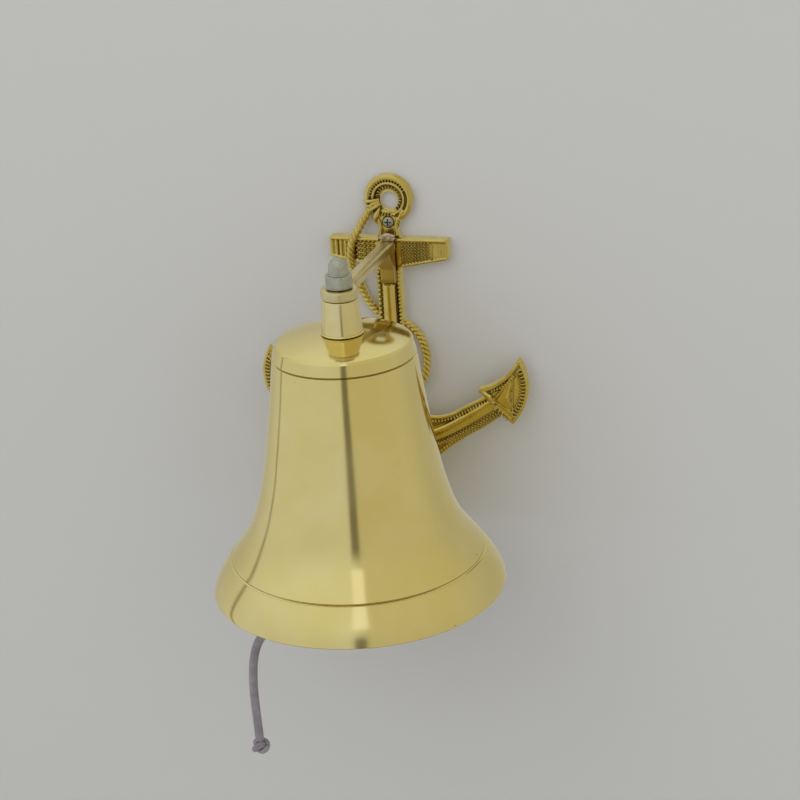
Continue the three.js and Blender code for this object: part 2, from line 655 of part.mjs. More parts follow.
const ship_bell = new THREE.Group();

const finishes = {
  castBrass: { color: 0xb08d2e, roughness: 0.32, metalness: 1 },
  satinBrass: { color: 0xc2ab62, roughness: 0.36, metalness: 1 },
  polishedBrass: { color: 0xd2ba62, roughness: 0.1, metalness: 1 },
  turnedBrass: { color: 0xccb35c, roughness: 0.16, metalness: 1 },
  braze: { color: 0xc9bfae, roughness: 0.5, metalness: 0.8 },
  zincSteel: { color: 0xa3a59a, roughness: 0.38, metalness: 1 },
  cord: { color: 0x8f8794, roughness: 0.95, metalness: 0 },
};

/** Adds one named piece to the bell, with a material of its own. */
function piece(name, geometry, finish, place = [0, 0, 0]) {
  const mesh = new THREE.Mesh(outward(geometry), new THREE.MeshStandardMaterial(finishes[finish]));
  mesh.name = name;
  mesh.position.set(...place);
  ship_bell.add(mesh);
  return mesh;
}

const axis = -ARM_REACH;
piece('anchor_casting', anchorCasting(), 'castBrass');
for (const [name, height] of Object.entries(SCREW_HEIGHTS)) {
  piece(name, wallScrew(), 'zincSteel', [0, 0, height]);
}
piece('bracket_arm', bracketArm(), 'satinBrass');
piece('braze_bead', brazeBead(), 'braze');
piece('acorn_nut', acornNut(), 'zincSteel', [0, axis, eyeTop + SEAT_GAP]);
piece('crown_boss', crownBoss(), 'turnedBrass', [0, axis, bossTop - BOSS_HEIGHT]);
piece('bell_shell', bellShell(), 'polishedBrass', [0, axis, lip]);
piece('eye_bolt', eyeBolt(), 'zincSteel', [0, axis, 0]);
piece('inner_washer', innerWasher(), 'zincSteel', [0, axis, washerTop - WASHER_THICKNESS]);
piece('inner_nut', geometryOf(hexNut(NUT_ACROSS_FLATS, 0, INNER_NUT_HEIGHT, studHole, 0)), 'zincSteel',
  [0, axis, innerNutTop - INNER_NUT_HEIGHT]);
piece('clapper_link', clapperLink(), 'zincSteel', [0, axis, linkPivot]);
piece('clapper_rod', clapperRod(), 'turnedBrass', [0, axis, 0]);
piece('clapper_ball', clapperBall(), 'turnedBrass', [0, axis, ballHeight]);
piece('clapper_lock_nut', geometryOf(
  hexNut(LOCK_NUT_ACROSS_FLATS, 0, LOCK_NUT_HEIGHT, ROD_TIP_RADIUS + PIN_GAP, 0),
), 'turnedBrass', [0, axis, lockNutBottom]);
piece('lanyard_cord', bar(route(cordRoute), CORD_RADIUS, 36, 8), 'cord');
const cordStart = cordRoute[0];
const cordEnd = cordRoute[cordRoute.length - 1];
piece('lanyard_stopper_knot', knot(), 'cord',
  [cordStart[0] + SEAT_GAP + KNOT_RADIUS, cordStart[1], cordStart[2]]);
piece('lanyard_end_knot', knot(), 'cord',
  [cordEnd[0], cordEnd[1], cordEnd[2] - SEAT_GAP - KNOT_RADIUS]);

export default ship_bell;
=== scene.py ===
# %% [markdown]
# # A brass ship bell on its anchor bracket
# The bell hangs from a short arm on a casting in the shape of an anchor with a rope round it.
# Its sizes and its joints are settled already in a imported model, so this lesson only dresses that
# model: every plain solid gets a finer piece in its place, and every piece gets a real finish.
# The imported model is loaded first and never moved, because each new piece takes its place from it.

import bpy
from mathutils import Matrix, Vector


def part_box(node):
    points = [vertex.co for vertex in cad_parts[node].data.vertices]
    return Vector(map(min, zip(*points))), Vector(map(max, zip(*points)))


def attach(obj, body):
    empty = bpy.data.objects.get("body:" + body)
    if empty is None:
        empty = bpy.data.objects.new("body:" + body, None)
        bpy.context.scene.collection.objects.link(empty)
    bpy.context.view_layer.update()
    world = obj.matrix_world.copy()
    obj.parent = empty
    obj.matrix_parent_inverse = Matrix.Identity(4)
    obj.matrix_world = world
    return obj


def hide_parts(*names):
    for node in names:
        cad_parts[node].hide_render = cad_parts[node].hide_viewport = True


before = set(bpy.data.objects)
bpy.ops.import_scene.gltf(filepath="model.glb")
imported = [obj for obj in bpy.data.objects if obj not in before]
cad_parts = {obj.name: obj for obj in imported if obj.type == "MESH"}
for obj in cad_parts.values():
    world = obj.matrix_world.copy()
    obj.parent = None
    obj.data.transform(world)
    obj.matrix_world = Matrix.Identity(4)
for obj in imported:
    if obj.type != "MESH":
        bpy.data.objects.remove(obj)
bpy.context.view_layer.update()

# %% Tools for the whole lesson
import math

import bmesh
import bpy
import numpy as np
from mathutils import Matrix, Vector, noise

MM = 0.001  # shapes are drawn in millimetres and made in metres
FULL_TURN = 2 * math.pi
scene = bpy.context.scene

# %% [markdown]
# ## The places that everything hangs on
# The frame gives each solid's box. Four of its heights and the bell's axis are enough to place
# every turned piece, so they are read once, here, and turned into millimetres.

# %% Read the main heights
def low_high(node):
    """The corners of a node's box in millimetres."""
    low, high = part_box(node)
    return np.array(low) / MM, np.array(high) / MM


bell_low, bell_high = low_high("bell_shell")
AXIS_Y = (bell_low[1] + bell_high[1]) / 2
LIP, CROWN = bell_low[2], bell_high[2]
MOUTH_RADIUS = (bell_high[0] - bell_low[0]) / 2
BELL_HEIGHT = CROWN - LIP
print(f"axis y {AXIS_Y:.1f}, lip {LIP:.1f}, crown {CROWN:.1f}, mouth radius {MOUTH_RADIUS:.1f} mm")

# %% [markdown]
# ## The camera
# A long lens from a little above and to the right of the bell shows the crown, the arm and half of
# the anchor at once. It could be aimed by a constraint, but three angles say the same and stay put.

# %% Set up the camera
CAMERA_PLACE = Vector((0.3406, -1.0200, 0.3322))
CAMERA_TURN = math.radians(18.511)  # to the left of straight at the wall
CAMERA_TILT = math.radians(21.359)  # down
CAMERA_ROLL = math.radians(3.622)
LENS_MM = 95.13

camera = bpy.data.objects.new("camera", bpy.data.cameras.new("camera"))
camera.data.lens = LENS_MM
camera.data.sensor_width = 36
aim = (Matrix.Rotation(CAMERA_TURN, 4, "Z") @ Matrix.Rotation(-CAMERA_TILT, 4, "X")
       @ Matrix.Rotation(CAMERA_ROLL, 4, "Y") @ Matrix.Rotation(math.pi / 2, 4, "X"))
camera.matrix_world = Matrix.Translation(CAMERA_PLACE) @ aim
scene.collection.objects.link(camera)
scene.camera = camera
print("camera stands", round((CAMERA_PLACE - Vector((0, AXIS_Y * MM, 0))).length, 3), "m from the bell")

# %% [markdown]
# ## Making meshes
# Blender builds a mesh from a list of points and a list of faces. A *shell* here is such a pair in
# millimetres. Working with plain pairs lets many small shells be gathered before one object is made.

# %% Turn shells into objects
def gathered(shells):
    """Several shells as one."""
    points, faces = [], []
    for shell_points, shell_faces in shells:
        start = len(points)
        points.extend(shell_points)
        faces.extend(tuple(start + i for i in face) for face in shell_faces)
    return points, faces


def made(name, shells, sharp=40):
    """An object from shells, its doubled points merged, its faces out and its shading smooth."""
    points, faces = gathered(shells)
    mesh = bpy.data.meshes.new(name)
    mesh.from_pydata([(x * MM, y * MM, z * MM) for x, y, z in points], [], faces)
    work = bmesh.new()
    work.from_mesh(mesh)
    bmesh.ops.remove_doubles(work, verts=work.verts, dist=2e-7)
    bmesh.ops.recalc_face_normals(work, faces=work.faces)
    work.to_mesh(mesh)
    work.free()
    mesh.shade_smooth()
    mesh.set_sharp_from_angle(angle=math.radians(sharp))
    thing = bpy.data.objects.new(name, mesh)
    scene.collection.objects.link(thing)
    return thing


def settle(thing):
    """Replaces an object's mesh with what its modifiers make of it."""
    depsgraph = bpy.context.evaluated_depsgraph_get()
    mesh = bpy.data.meshes.new_from_object(thing.evaluated_get(depsgraph))
    thing.modifiers.clear()
    old = thing.data
    thing.data = mesh
    bpy.data.meshes.remove(old)
    return thing


def finish_piece(thing, body, material, slot, *nodes):
    """Gives a piece its finish, the body it rides on and the solids it stands for."""
    thing.data.materials.clear()
    thing.data.materials.append(material)
    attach(thing, body)
    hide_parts(*nodes)
    print(f"{thing.name}: {len(thing.data.vertices)} points, {len(thing.data.polygons)} faces")
    return thing


# %% [markdown]
# Four shapes make nearly everything on the bell: something turned on a lathe, a bar swept along a
# line, a rounded bead, and a flat plate with a softened edge.

# %% Turned, swept and rounded shells
def turned(profile, segments=96, place=(0, 0, 0)):
    """A profile of (radius, height) points turned about a vertical axis."""
    count = len(profile)
    points, faces = [], []
    for step in range(segments):
        angle = FULL_TURN * step / segments
        points += [(place[0] + r * math.cos(angle), place[1] + r * math.sin(angle), place[2] + h)
                   for r, h in profile]
    for step in range(segments):
        here, there = step * count, (step + 1) % segments * count
        for i in range(count - 1):
            if profile[i][0] == 0 and profile[i + 1][0] == 0:
                continue
            if profile[i][0] == 0:
                faces.append((here + i, there + i + 1, here + i + 1))
            elif profile[i + 1][0] == 0:
                faces.append((here + i, there + i, here + i + 1))
            else:
                faces.append((here + i, there + i, there + i + 1, here + i + 1))
    return points, faces


def swept(line, radius, sides=12, closed=False, squash=1.0):
    """A round bar along a line. radius may be a function of the share of the way along."""
    line = np.asarray(line, float)
    count = len(line)
    ahead = np.roll(line, -1, axis=0) - np.roll(line, 1, axis=0)
    if not closed:
        ahead[0], ahead[-1] = line[1] - line[0], line[-1] - line[-2]
    ahead /= np.linalg.norm(ahead, axis=1)[:, None]
    side = np.cross(ahead[0], (0, 1, 0))
    if np.linalg.norm(side) < 0.1:
        side = np.cross(ahead[0], (1, 0, 0))
    points, faces = [], []
    for i in range(count):
        side = side - ahead[i] * side.dot(ahead[i])
        side /= np.linalg.norm(side)
        up = np.cross(ahead[i], side)
        r = radius(i / (count - 1)) if callable(radius) else radius
        for k in range(sides):
            angle = FULL_TURN * k / sides
            points.append(tuple(line[i] + r * (math.cos(angle) * side + squash * math.sin(angle) * up)))
    rings = count if closed else count - 1
    for i in range(rings):
        here, there = i * sides, (i + 1) % count * sides
        for k in range(sides):
            after = (k + 1) % sides
            faces.append((here + k, here + after, there + after, there + k))
    if not closed:
        faces.append(tuple(reversed(range(sides))))
        faces.append(tuple(range((count - 1) * sides, count * sides)))
    return points, faces


def bead(centre, size, turn=0.0, rings=6, sides=10):
    """A rounded bead, size being its half widths, turned about Y so that its length lies on a line."""
    half_x, half_y, half_z = size if hasattr(size, "__len__") else (size, size, size)
    c, s = math.cos(turn), math.sin(turn)

    def at(across, deep, up):
        x, y, z = across * half_x, deep * half_y, up * half_z
        return centre[0] + x * c - z * s, centre[1] + y, centre[2] + x * s + z * c

    points, faces = [at(0, 0, 1)], []
    for ring in range(1, rings):
        tilt = math.pi * ring / rings
        for k in range(sides):
            angle = FULL_TURN * k / sides
            across = math.sin(tilt)
            points.append(at(across * math.cos(angle), across * math.sin(angle), math.cos(tilt)))
    points.append(at(0, 0, -1))
    last = len(points) - 1
    for k in range(sides):
        after = (k + 1) % sides
        faces.append((0, 1 + k, 1 + after))
        faces.append((last, last - sides + after, last - sides + k))
        for ring in range(rings - 2):
            here = 1 + ring * sides
            faces.append((here + k, here + sides + k, here + sides + after, here + after))
    return points, faces


# %% Smooth lines through a few points
def through(points, step):
    """A smooth line through a few chosen points, with a point every step millimetres or so."""
    points = np.asarray(points, float)
    ends = [2 * points[0] - points[1], *points, 2 * points[-1] - points[-2]]
    line = []
    for before, start, end, after in zip(ends, ends[1:], ends[2:], ends[3:]):
        knots = np.cumsum([0] + [math.sqrt(np.linalg.norm(b - a)) for a, b in
                                 ((before, start), (start, end), (end, after))])
        pieces = max(2, int(np.linalg.norm(end - start) / step))
        for share in np.arange(pieces) / pieces:
            t = knots[1] + share * (knots[2] - knots[1])
            a1 = (before * (knots[1] - t) + start * (t - knots[0])) / (knots[1] - knots[0])
            a2 = (start * (knots[2] - t) + end * (t - knots[1])) / (knots[2] - knots[1])
            a3 = (end * (knots[3] - t) + after * (t - knots[2])) / (knots[3] - knots[2])
            b1 = (a1 * (knots[2] - t) + a2 * (t - knots[0])) / (knots[2] - knots[0])
            b2 = (a2 * (knots[3] - t) + a3 * (t - knots[1])) / (knots[3] - knots[1])
            line.append((b1 * (knots[2] - t) + b2 * (t - knots[1])) / (knots[2] - knots[1]))
    line.append(points[-1])
    return np.array(line)


def bent(start, pull, end, pieces=16):
    """A line from start to end that bends towards a pulling point."""
    start, pull, end = np.array(start, float), np.array(pull, float), np.array(end, float)
    share = np.linspace(0, 1, pieces + 1)[:, None]
    return (1 - share) ** 2 * start + 2 * share * (1 - share) * pull + share ** 2 * end


def spaced(line, pitch):
    """Points a steady pitch apart on a line, with the direction of the line at each."""
    line = np.asarray(line, float)
    legs = np.linalg.norm(np.diff(line, axis=0), axis=1)
    reach = np.concatenate([[0], np.cumsum(legs)])
    count = max(1, int(reach[-1] / pitch))
    wanted = (np.arange(count) + 0.5) * reach[-1] / count
    places = np.array([np.interp(wanted, reach, line[:, k]) for k in range(line.shape[1])]).T
    near = np.array([np.interp(wanted + 0.05, reach, line[:, k]) for k in range(line.shape[1])]).T
    before = np.array([np.interp(wanted - 0.05, reach, line[:, k]) for k in range(line.shape[1])]).T
    ahead = near - before
    return places, ahead / np.linalg.norm(ahead, axis=1)[:, None]


def shifted(line, distance):
    """A flat line moved sideways, to its left when distance is positive."""
    line = np.asarray(line, float)
    ahead = np.gradient(line, axis=0)
    ahead /= np.linalg.norm(ahead, axis=1)[:, None]
    return line + distance * np.stack([-ahead[:, 1], ahead[:, 0]], axis=1)


# %% [markdown]
# ## The lanyard
# A short braided cotton cord is tied through the clapper's tail eye, and the hand swings the
# clapper by it. A braid painted on a plain tube looks flat from close by, so the braid is
# built as it is made: sixteen strands, half of them winding each way, each passing over one strand
# and under the next. A stopper knot holds it in the eye, and a second knot ends it.

# %% Lay the cord along its route
CORD_RADIUS = 2.5
KNOT_RADIUS = 5.2
KNOT_REACH = 3.4  # from the end of the cord to the middle of its knot
TAIL_HEIGHT = low_high("lanyard_stopper_knot")[0][2] + KNOT_RADIUS  # middle of the tail eye
CORD_ROUTE = [
    [3, 0, 0], [0, 0, 0], [-6.5, -0.1, -0.4], [-14, -0.7, -2], [-22.5, -1.7, -4.8], [-31, -2.8, -8],
    [-39.5, -4, -11.2], [-47.5, -5, -14.9], [-54.4, -5.8, -19.9], [-59, -6.4, -27.2],
    [-61.6, -6.6, -36], [-62.9, -6.7, -46], [-63.3, -6.7, -56], [-63.2, -6.6, -66],
    [-62.9, -6.5, -76], [-62.6, -6.4, -86],
]
tail_eye = np.array([0, AXIS_Y, TAIL_HEIGHT])
cord_line = through(np.array(CORD_ROUTE, float) + tail_eye, 1.0)


# %% Braid strands round a line
STRANDS_EACH_WAY = 8
BRAID_PITCH = 15.0  # length of one whole turn of a strand
STRAND_WIDE, STRAND_THICK = 0.78, 0.42
BRAID_WAVE = 0.26  # how far a strand rises and dips at each crossing


def braided(line, radius=CORD_RADIUS):
    """Strands braided round a line, as shells."""
    line = np.asarray(line, float)
    reach = np.concatenate([[0], np.cumsum(np.linalg.norm(np.diff(line, axis=0), axis=1))])
    marks = np.arange(0, reach[-1], 0.45)
    core = np.array([np.interp(marks, reach, line[:, k]) for k in range(3)]).T
    ahead = np.gradient(core, axis=0)
    ahead /= np.linalg.norm(ahead, axis=1)[:, None]
    side = np.cross(ahead[0], (0.3, 1, 0.2))
    sides, ups = [], []
    for direction in ahead:
        side = side - direction * side.dot(direction)
        side /= np.linalg.norm(side)
        sides.append(side)
        ups.append(np.cross(direction, side))
    sides, ups = np.array(sides), np.array(ups)
    gap = FULL_TURN / STRANDS_EACH_WAY
    crossing = 2 * FULL_TURN * marks / BRAID_PITCH / gap
    shells = [swept(core, radius - 1.1, sides=8)]
    for way in (1, -1):
        out = radius - STRAND_THICK - BRAID_WAVE + way * BRAID_WAVE * np.cos(math.pi * crossing)
        for strand in range(STRANDS_EACH_WAY):
            angle = way * FULL_TURN * marks / BRAID_PITCH + strand * gap
            outward = np.cos(angle)[:, None] * sides + np.sin(angle)[:, None] * ups
            path = core + out[:, None] * outward
            shells.append(ribbon(path, outward, STRAND_WIDE, STRAND_THICK))
    return shells


def ribbon(path, outward, wide, thick, sides=6):
    """A flattened strand along a path, its flat side turned outward."""
    ahead = np.gradient(path, axis=0)
    across = np.cross(ahead, outward)
    across /= np.linalg.norm(across, axis=1)[:, None]
    points, faces = [], []
    for i in range(len(path)):
        for k in range(sides):
            angle = FULL_TURN * k / sides
            points.append(tuple(path[i] + wide * math.cos(angle) * across[i]
                                + thick * math.sin(angle) * outward[i]))
    for i in range(len(path) - 1):
        here, there = i * sides, (i + 1) * sides
        for k in range(sides):
            after = (k + 1) % sides
            faces.append((here + k, here + after, there + after, there + k))
    faces.append(tuple(reversed(range(sides))))
    faces.append(tuple(range((len(path) - 1) * sides, len(path) * sides)))
    return points, faces


# %% Tie the knots
def knot(centre, along, size):
    """A simple overhand knot, pulled tight, its cord wound three times through itself."""
    along = np.asarray(along, float) / np.linalg.norm(along)
    side = np.cross(along, (0, 1, 0))
    side /= np.linalg.norm(side)
    other = np.cross(along, side)
    line = []
    for share in np.linspace(0, 1, 73):
        angle = FULL_TURN * share
        out = size * (1 + 0.5 * math.cos(3 * angle))
        line.append(centre + out * (math.cos(2 * angle) * side + math.sin(2 * angle) * other)
                    + 0.75 * size * math.sin(3 * angle) * along)
    return np.array(line)


cord_piece = made("braided_lanyard", braided(cord_line))
first_leg = cord_line[0] - cord_line[2]
last_leg = cord_line[-1] - cord_line[-3]
stopper_centre = cord_line[0] + KNOT_REACH * first_leg / np.linalg.norm(first_leg)
end_centre = cord_line[-1] + KNOT_REACH * last_leg / np.linalg.norm(last_leg)
stopper_piece = made("stopper_knot", braided(knot(stopper_centre, first_leg, 2.4), 1.9))
end_piece = made("end_knot", braided(knot(end_centre, last_leg, 2.4), 1.9))

# %% [markdown]
# ## Finishes
# Each finish is a small network of nodes round one Principled shader. The metals share a few
# tricks: a slow noise lets the colour drift, a fine noise roughens the gloss, and a bump gives the
# marks of the tool. A helper keeps the networks short to write.

# %% Helpers for material nodes
class Finish:
    """A material and its nodes, with short ways to add and join them."""

    def __init__(self, name, color, roughness, metallic=1.0, **sockets):
        self.material = bpy.data.materials.new(name)
        self.material.use_nodes = True
        self.tree = self.material.node_tree
        self.shader = self.tree.nodes["Principled BSDF"]
        self.shader.inputs["Base Color"].default_value = (*color, 1)
        self.shader.inputs["Roughness"].default_value = roughness
        self.shader.inputs["Metallic"].default_value = metallic
        for socket, value in sockets.items():
            self.shader.inputs[socket.replace("_", " ")].default_value = value
        self.place = self.node("ShaderNodeTexCoord").outputs["Object"]

    def node(self, kind, **settings):
        made_node = self.tree.nodes.new(kind)
        for key, value in settings.items():
            setattr(made_node, key, value)
        return made_node

    def join(self, source, target):
        self.tree.links.new(source, target)

    def stretched(self, scale):
        """The place on the piece, stretched by a factor along each axis."""
        mapping = self.node("ShaderNodeMapping")
        self.join(self.place, mapping.inputs["Vector"])
        mapping.inputs["Scale"].default_value = scale
        return mapping.outputs["Vector"]

    def noise(self, size_mm, detail=3.0, where=None):
        """Cloudy noise whose lumps are about size_mm wide."""
        cloud = self.node("ShaderNodeTexNoise")
        self.join(where or self.place, cloud.inputs["Vector"])
        cloud.inputs["Scale"].default_value = 1 / (size_mm * MM)
        cloud.inputs["Detail"].default_value = detail
        return cloud.outputs["Fac"]

    def ranged(self, value, from_low, from_high, to_low=0.0, to_high=1.0):
        span = self.node("ShaderNodeMapRange")
        self.join(value, span.inputs["Value"])
        for socket, number in zip(("From Min", "From Max", "To Min", "To Max"),
                                  (from_low, from_high, to_low, to_high)):
            span.inputs[socket].default_value = number
        return span.outputs["Result"]

    def mixed(self, share, first, second):
        """A colour between two; each is a colour or a socket."""
        mix = self.node("ShaderNodeMix", data_type="RGBA")
        self.join(share, mix.inputs["Factor"])
        for socket, colour in (("A", first), ("B", second)):
            target = [s for s in mix.inputs if s.name == socket and s.type == "RGBA"][0]
            if isinstance(colour, tuple):
                target.default_value = (*colour, 1)
            else:
                self.join(colour, target)
        return [s for s in mix.outputs if s.type == "RGBA"][0]

    def maths(self, operation, first, second):
        sum_node = self.node("ShaderNodeMath", operation=operation)
        for socket, value in zip(sum_node.inputs, (first, second)):
            if isinstance(value, (int, float)):
                socket.default_value = value
            else:
                self.join(value, socket)
        return sum_node.outputs[0]

    def bump(self, height, depth_mm, strength=1.0, under=None):
        """Raises the surface by up to depth_mm where height is one."""
        relief = self.node("ShaderNodeBump")
        relief.inputs["Strength"].default_value = strength
        relief.inputs["Distance"].default_value = depth_mm * MM
        self.join(height, relief.inputs["Height"])
        if under is not None:
            self.join(under, relief.inputs["Normal"])
        return relief.outputs["Normal"]

    def hollows(self, reach_mm, dark=0.35, light=0.85):
        """One in the hollows and nought on open ground, judged within reach_mm."""
        shade = self.node("ShaderNodeAmbientOcclusion", samples=8, only_local=True)
        shade.inputs["Distance"].default_value = reach_mm * MM
        return self.ranged(shade.outputs["AO"], dark, light, 1.0, 0.0)

    def set(self, socket, value):
        self.join(value, self.shader.inputs[socket])


# %% [markdown]
# ### Polished brass
# The bell is buffed to a mirror and then handled, so its shine carries a thin haze. The haze is a
# little rougher and paler in slow clouds. Fine rings from the lathe run round it, and the casting
# left a few pinholes that the wheel didn't reach.

# %% The bell's brass
def lathe_rings(finish, pitch_mm):
    """Stripes that run round the bell's axis, a few to the millimetre, broken up a little."""
    return finish.noise(pitch_mm, 2.0, finish.stretched((0.02, 0.02, 1.0)))


def pinholes(finish, spacing_mm, share, size):
    """One at the middle of a few scattered pits."""
    cells = finish.node("ShaderNodeTexVoronoi")
    finish.join(finish.place, cells.inputs["Vector"])
    cells.inputs["Scale"].default_value = 1 / (spacing_mm * MM)
    near = finish.ranged(cells.outputs["Distance"], size * 0.4, size, 1.0, 0.0)
    tint = finish.node("ShaderNodeSeparateColor")
    finish.join(cells.outputs["Color"], tint.inputs["Color"])
    chosen = finish.maths("LESS_THAN", tint.outputs["Red"], share)
    return finish.maths("MULTIPLY", near, chosen)


def polished_brass():
    finish = Finish("polished_brass", (0.80, 0.68, 0.33), 0.1)
    haze = finish.ranged(finish.noise(26, 4.0), 0.38, 0.66)
    fine = finish.noise(1.3, 3.0)
    holes = pinholes(finish, 9.0, 0.16, 0.055)
    colour = finish.mixed(haze, (0.79, 0.655, 0.265), (0.82, 0.70, 0.325))
    # painted shade: the brass darkens to brown where ambient occlusion finds narrow hollows, such as the
    # grooves
    groove_shade = finish.hollows(0.8, 0.5, 0.9)
    shade_darkened_colour = finish.mixed(groove_shade, colour, (0.16, 0.105, 0.035))
    finish.set("Base Color", finish.mixed(holes, shade_darkened_colour, (0.13, 0.085, 0.03)))
    gloss = finish.maths("ADD", finish.ranged(haze, 0, 1, 0.075, 0.125),
                         finish.ranged(fine, 0.3, 0.7, 0, 0.03))
    finish.set("Roughness", finish.maths("ADD", gloss, finish.maths("MULTIPLY", holes, 0.5)))
    rings = finish.bump(lathe_rings(finish, 0.5), 0.003)
    waves = finish.bump(finish.noise(17, 1.0), 0.05, under=rings)
    finish.set("Normal", finish.bump(finish.maths("SUBTRACT", 1.0, holes), 0.12, under=waves))
    return finish.material


def turned_brass():
    """The same metal on the small turned pieces, with deeper tool rings."""
    finish = Finish("turned_brass", (0.79, 0.67, 0.33), 0.17)
    haze = finish.ranged(finish.noise(7, 4.0), 0.35, 0.68)
    finish.set("Base Color", finish.mixed(haze, (0.78, 0.655, 0.31), (0.81, 0.70, 0.38)))
    finish.set("Roughness", finish.ranged(haze, 0, 1, 0.15, 0.24))
    finish.set("Normal", finish.bump(lathe_rings(finish, 0.35), 0.012))
    return finish.material


# %% [markdown]
# ### Cast, satin and filler metal
# The anchor is cast, and only its high ground is buffed. Brown stays in every hollow, so the finish
# asks how closed-in each spot is and darkens there. The arm is rubbed along its length and is paler,
# and the filler that joins it to the anchor is dull and pinkish.

# %% The bracket's metals
def cast_brass():
    finish = Finish("cast_brass", (0.66, 0.51, 0.17), 0.3)
    deep, broad = finish.hollows(1.5, 0.5, 0.92), finish.hollows(5.0, 0.35, 0.8)
    hollow = finish.maths("MAXIMUM", finish.maths("MULTIPLY", deep, 0.92),
                          finish.maths("MULTIPLY", broad, 0.35))
    drift = finish.ranged(finish.noise(9, 4.0), 0.35, 0.68)
    grain = finish.noise(0.5, 3.0)
    spots = finish.ranged(finish.noise(2.6, 4.0), 0.60, 0.72)
    gold = finish.mixed(drift, (0.60, 0.455, 0.105), (0.70, 0.56, 0.19))
    worn = finish.mixed(finish.maths("MULTIPLY", spots, 0.35), gold, (0.36, 0.24, 0.07))
    finish.set("Base Color", finish.mixed(hollow, worn, (0.125, 0.080, 0.022)))
    finish.set("Roughness", finish.maths("ADD", finish.ranged(drift, 0, 1, 0.17, 0.28),
                                         finish.maths("MULTIPLY", hollow, 0.3)))
    sand = finish.bump(grain, 0.025)
    finish.set("Normal", finish.bump(finish.noise(3.0, 2.0), 0.12, under=sand))
    return finish.material


def satin_brass():
    finish = Finish("satin_brass", (0.74, 0.66, 0.41), 0.36)
    hollow = finish.hollows(5.0, 0.35, 0.85)
    drift = finish.ranged(finish.noise(11, 4.0), 0.35, 0.7)
    along = finish.noise(0.25, 3.0, finish.stretched((1, 0.04, 1)))
    pale = finish.mixed(drift, (0.69, 0.585, 0.30), (0.73, 0.645, 0.40))
    # painted shade: the bar browns near its root, where it meets the anchor, most of all on its lower side
    depth = finish.node("ShaderNodeSeparateXYZ")
    finish.join(finish.place, depth.inputs[0])
    near_root = finish.ranged(depth.outputs["Y"], -0.034, -0.012)  # painted shade over the root, fading out along the bar
    lower = finish.ranged(depth.outputs["Z"], 0.004, -0.002)
    root_shade = finish.maths("MULTIPLY", near_root, finish.maths("MAXIMUM", lower, 0.25))
    golden = finish.mixed(root_shade, pale, (0.50, 0.36, 0.10))
    # painted shade: the arm darkens to brown where ambient occlusion finds its inner corners, as at the
    # foot and the gusset
    painted_hollow_shade = finish.maths("MULTIPLY", hollow, 0.85)
    finish.set("Base Color", finish.mixed(painted_hollow_shade, golden, (0.17, 0.11, 0.03)))
    finish.set("Roughness", finish.ranged(along, 0.3, 0.7, 0.30, 0.42))
    finish.set("Normal", finish.bump(along, 0.02))
    return finish.material


def braze():
    finish = Finish("braze", (0.74, 0.66, 0.58), 0.5)
    patch = finish.ranged(finish.noise(1.6, 3.0), 0.4, 0.62)
    finish.set("Base Color", finish.mixed(patch, (0.66, 0.57, 0.50), (0.42, 0.32, 0.16)))
    finish.set("Roughness", finish.ranged(patch, 0, 1, 0.42, 0.6))
    finish.set("Normal", finish.bump(finish.noise(0.7, 3.0), 0.12))
    return finish.material


# %% [markdown]
# ### Zinc plate and cotton
# The acorn nut and the screws are steel with a dull zinc skin, which looks like frost up close:
# small crystals, each a little lighter or darker. The cord is dyed cotton, matt and slightly furry.

# %% Steel and cotton
def zinc_steel():
    finish = Finish("zinc_steel", (0.50, 0.50, 0.44), 0.48)
    cells = finish.node("ShaderNodeTexVoronoi")
    finish.join(finish.place, cells.inputs["Vector"])
    cells.inputs["Scale"].default_value = 1 / (0.8 * MM)
    tint = finish.node("ShaderNodeSeparateColor")
    finish.join(cells.outputs["Color"], tint.inputs["Color"])
    # painted shade: the zinc darkens to near black where ambient occlusion finds recesses, such as the
    # cross in the screw heads and the threads
    recess_shade = finish.hollows(2.0, 0.4, 0.8)
    skin = finish.mixed(tint.outputs["Green"], (0.49, 0.485, 0.42), (0.575, 0.57, 0.505))
    cloud = finish.ranged(finish.noise(4.5, 3.0), 0.45, 0.7)
    cloudy = finish.mixed(cloud, skin, (0.43, 0.42, 0.36))
    finish.set("Base Color", finish.mixed(recess_shade, cloudy, (0.13, 0.12, 0.085)))
    finish.set("Roughness", finish.ranged(tint.outputs["Red"], 0, 1, 0.42, 0.55))
    finish.set("Normal", finish.bump(finish.noise(0.5, 3.0), 0.015))
    return finish.material


def cotton_cord():
    finish = Finish("cotton_cord", (0.40, 0.36, 0.40), 0.95, metallic=0.0, Sheen_Weight=0.35,
                    Sheen_Roughness=0.5)
    thread = finish.noise(0.35, 3.0)
    drift = finish.ranged(finish.noise(6, 3.0), 0.35, 0.7)
    dyed = finish.mixed(drift, (0.26, 0.225, 0.265), (0.37, 0.33, 0.36))
    # painted shade: the cord darkens to near black between its strands, where ambient occlusion finds the
    # gaps
    between = finish.hollows(1.1, 0.35, 0.9)
    painted_strand_shade = finish.maths("MULTIPLY", between, 0.85)
    finish.set("Base Color", finish.mixed(painted_strand_shade, dyed, (0.05, 0.042, 0.048)))
    finish.set("Normal", finish.bump(thread, 0.12))
    return finish.material


BELL_BRASS, TURNED_BRASS, CAST_BRASS = polished_brass(), turned_brass(), cast_brass()
SATIN_BRASS, BRAZE, ZINC, COTTON = satin_brass(), braze(), zinc_steel(), cotton_cord()
finishes = (BELL_BRASS, TURNED_BRASS, CAST_BRASS, SATIN_BRASS, BRAZE, ZINC, COTTON)
print("finishes:", [finish.name for finish in finishes])

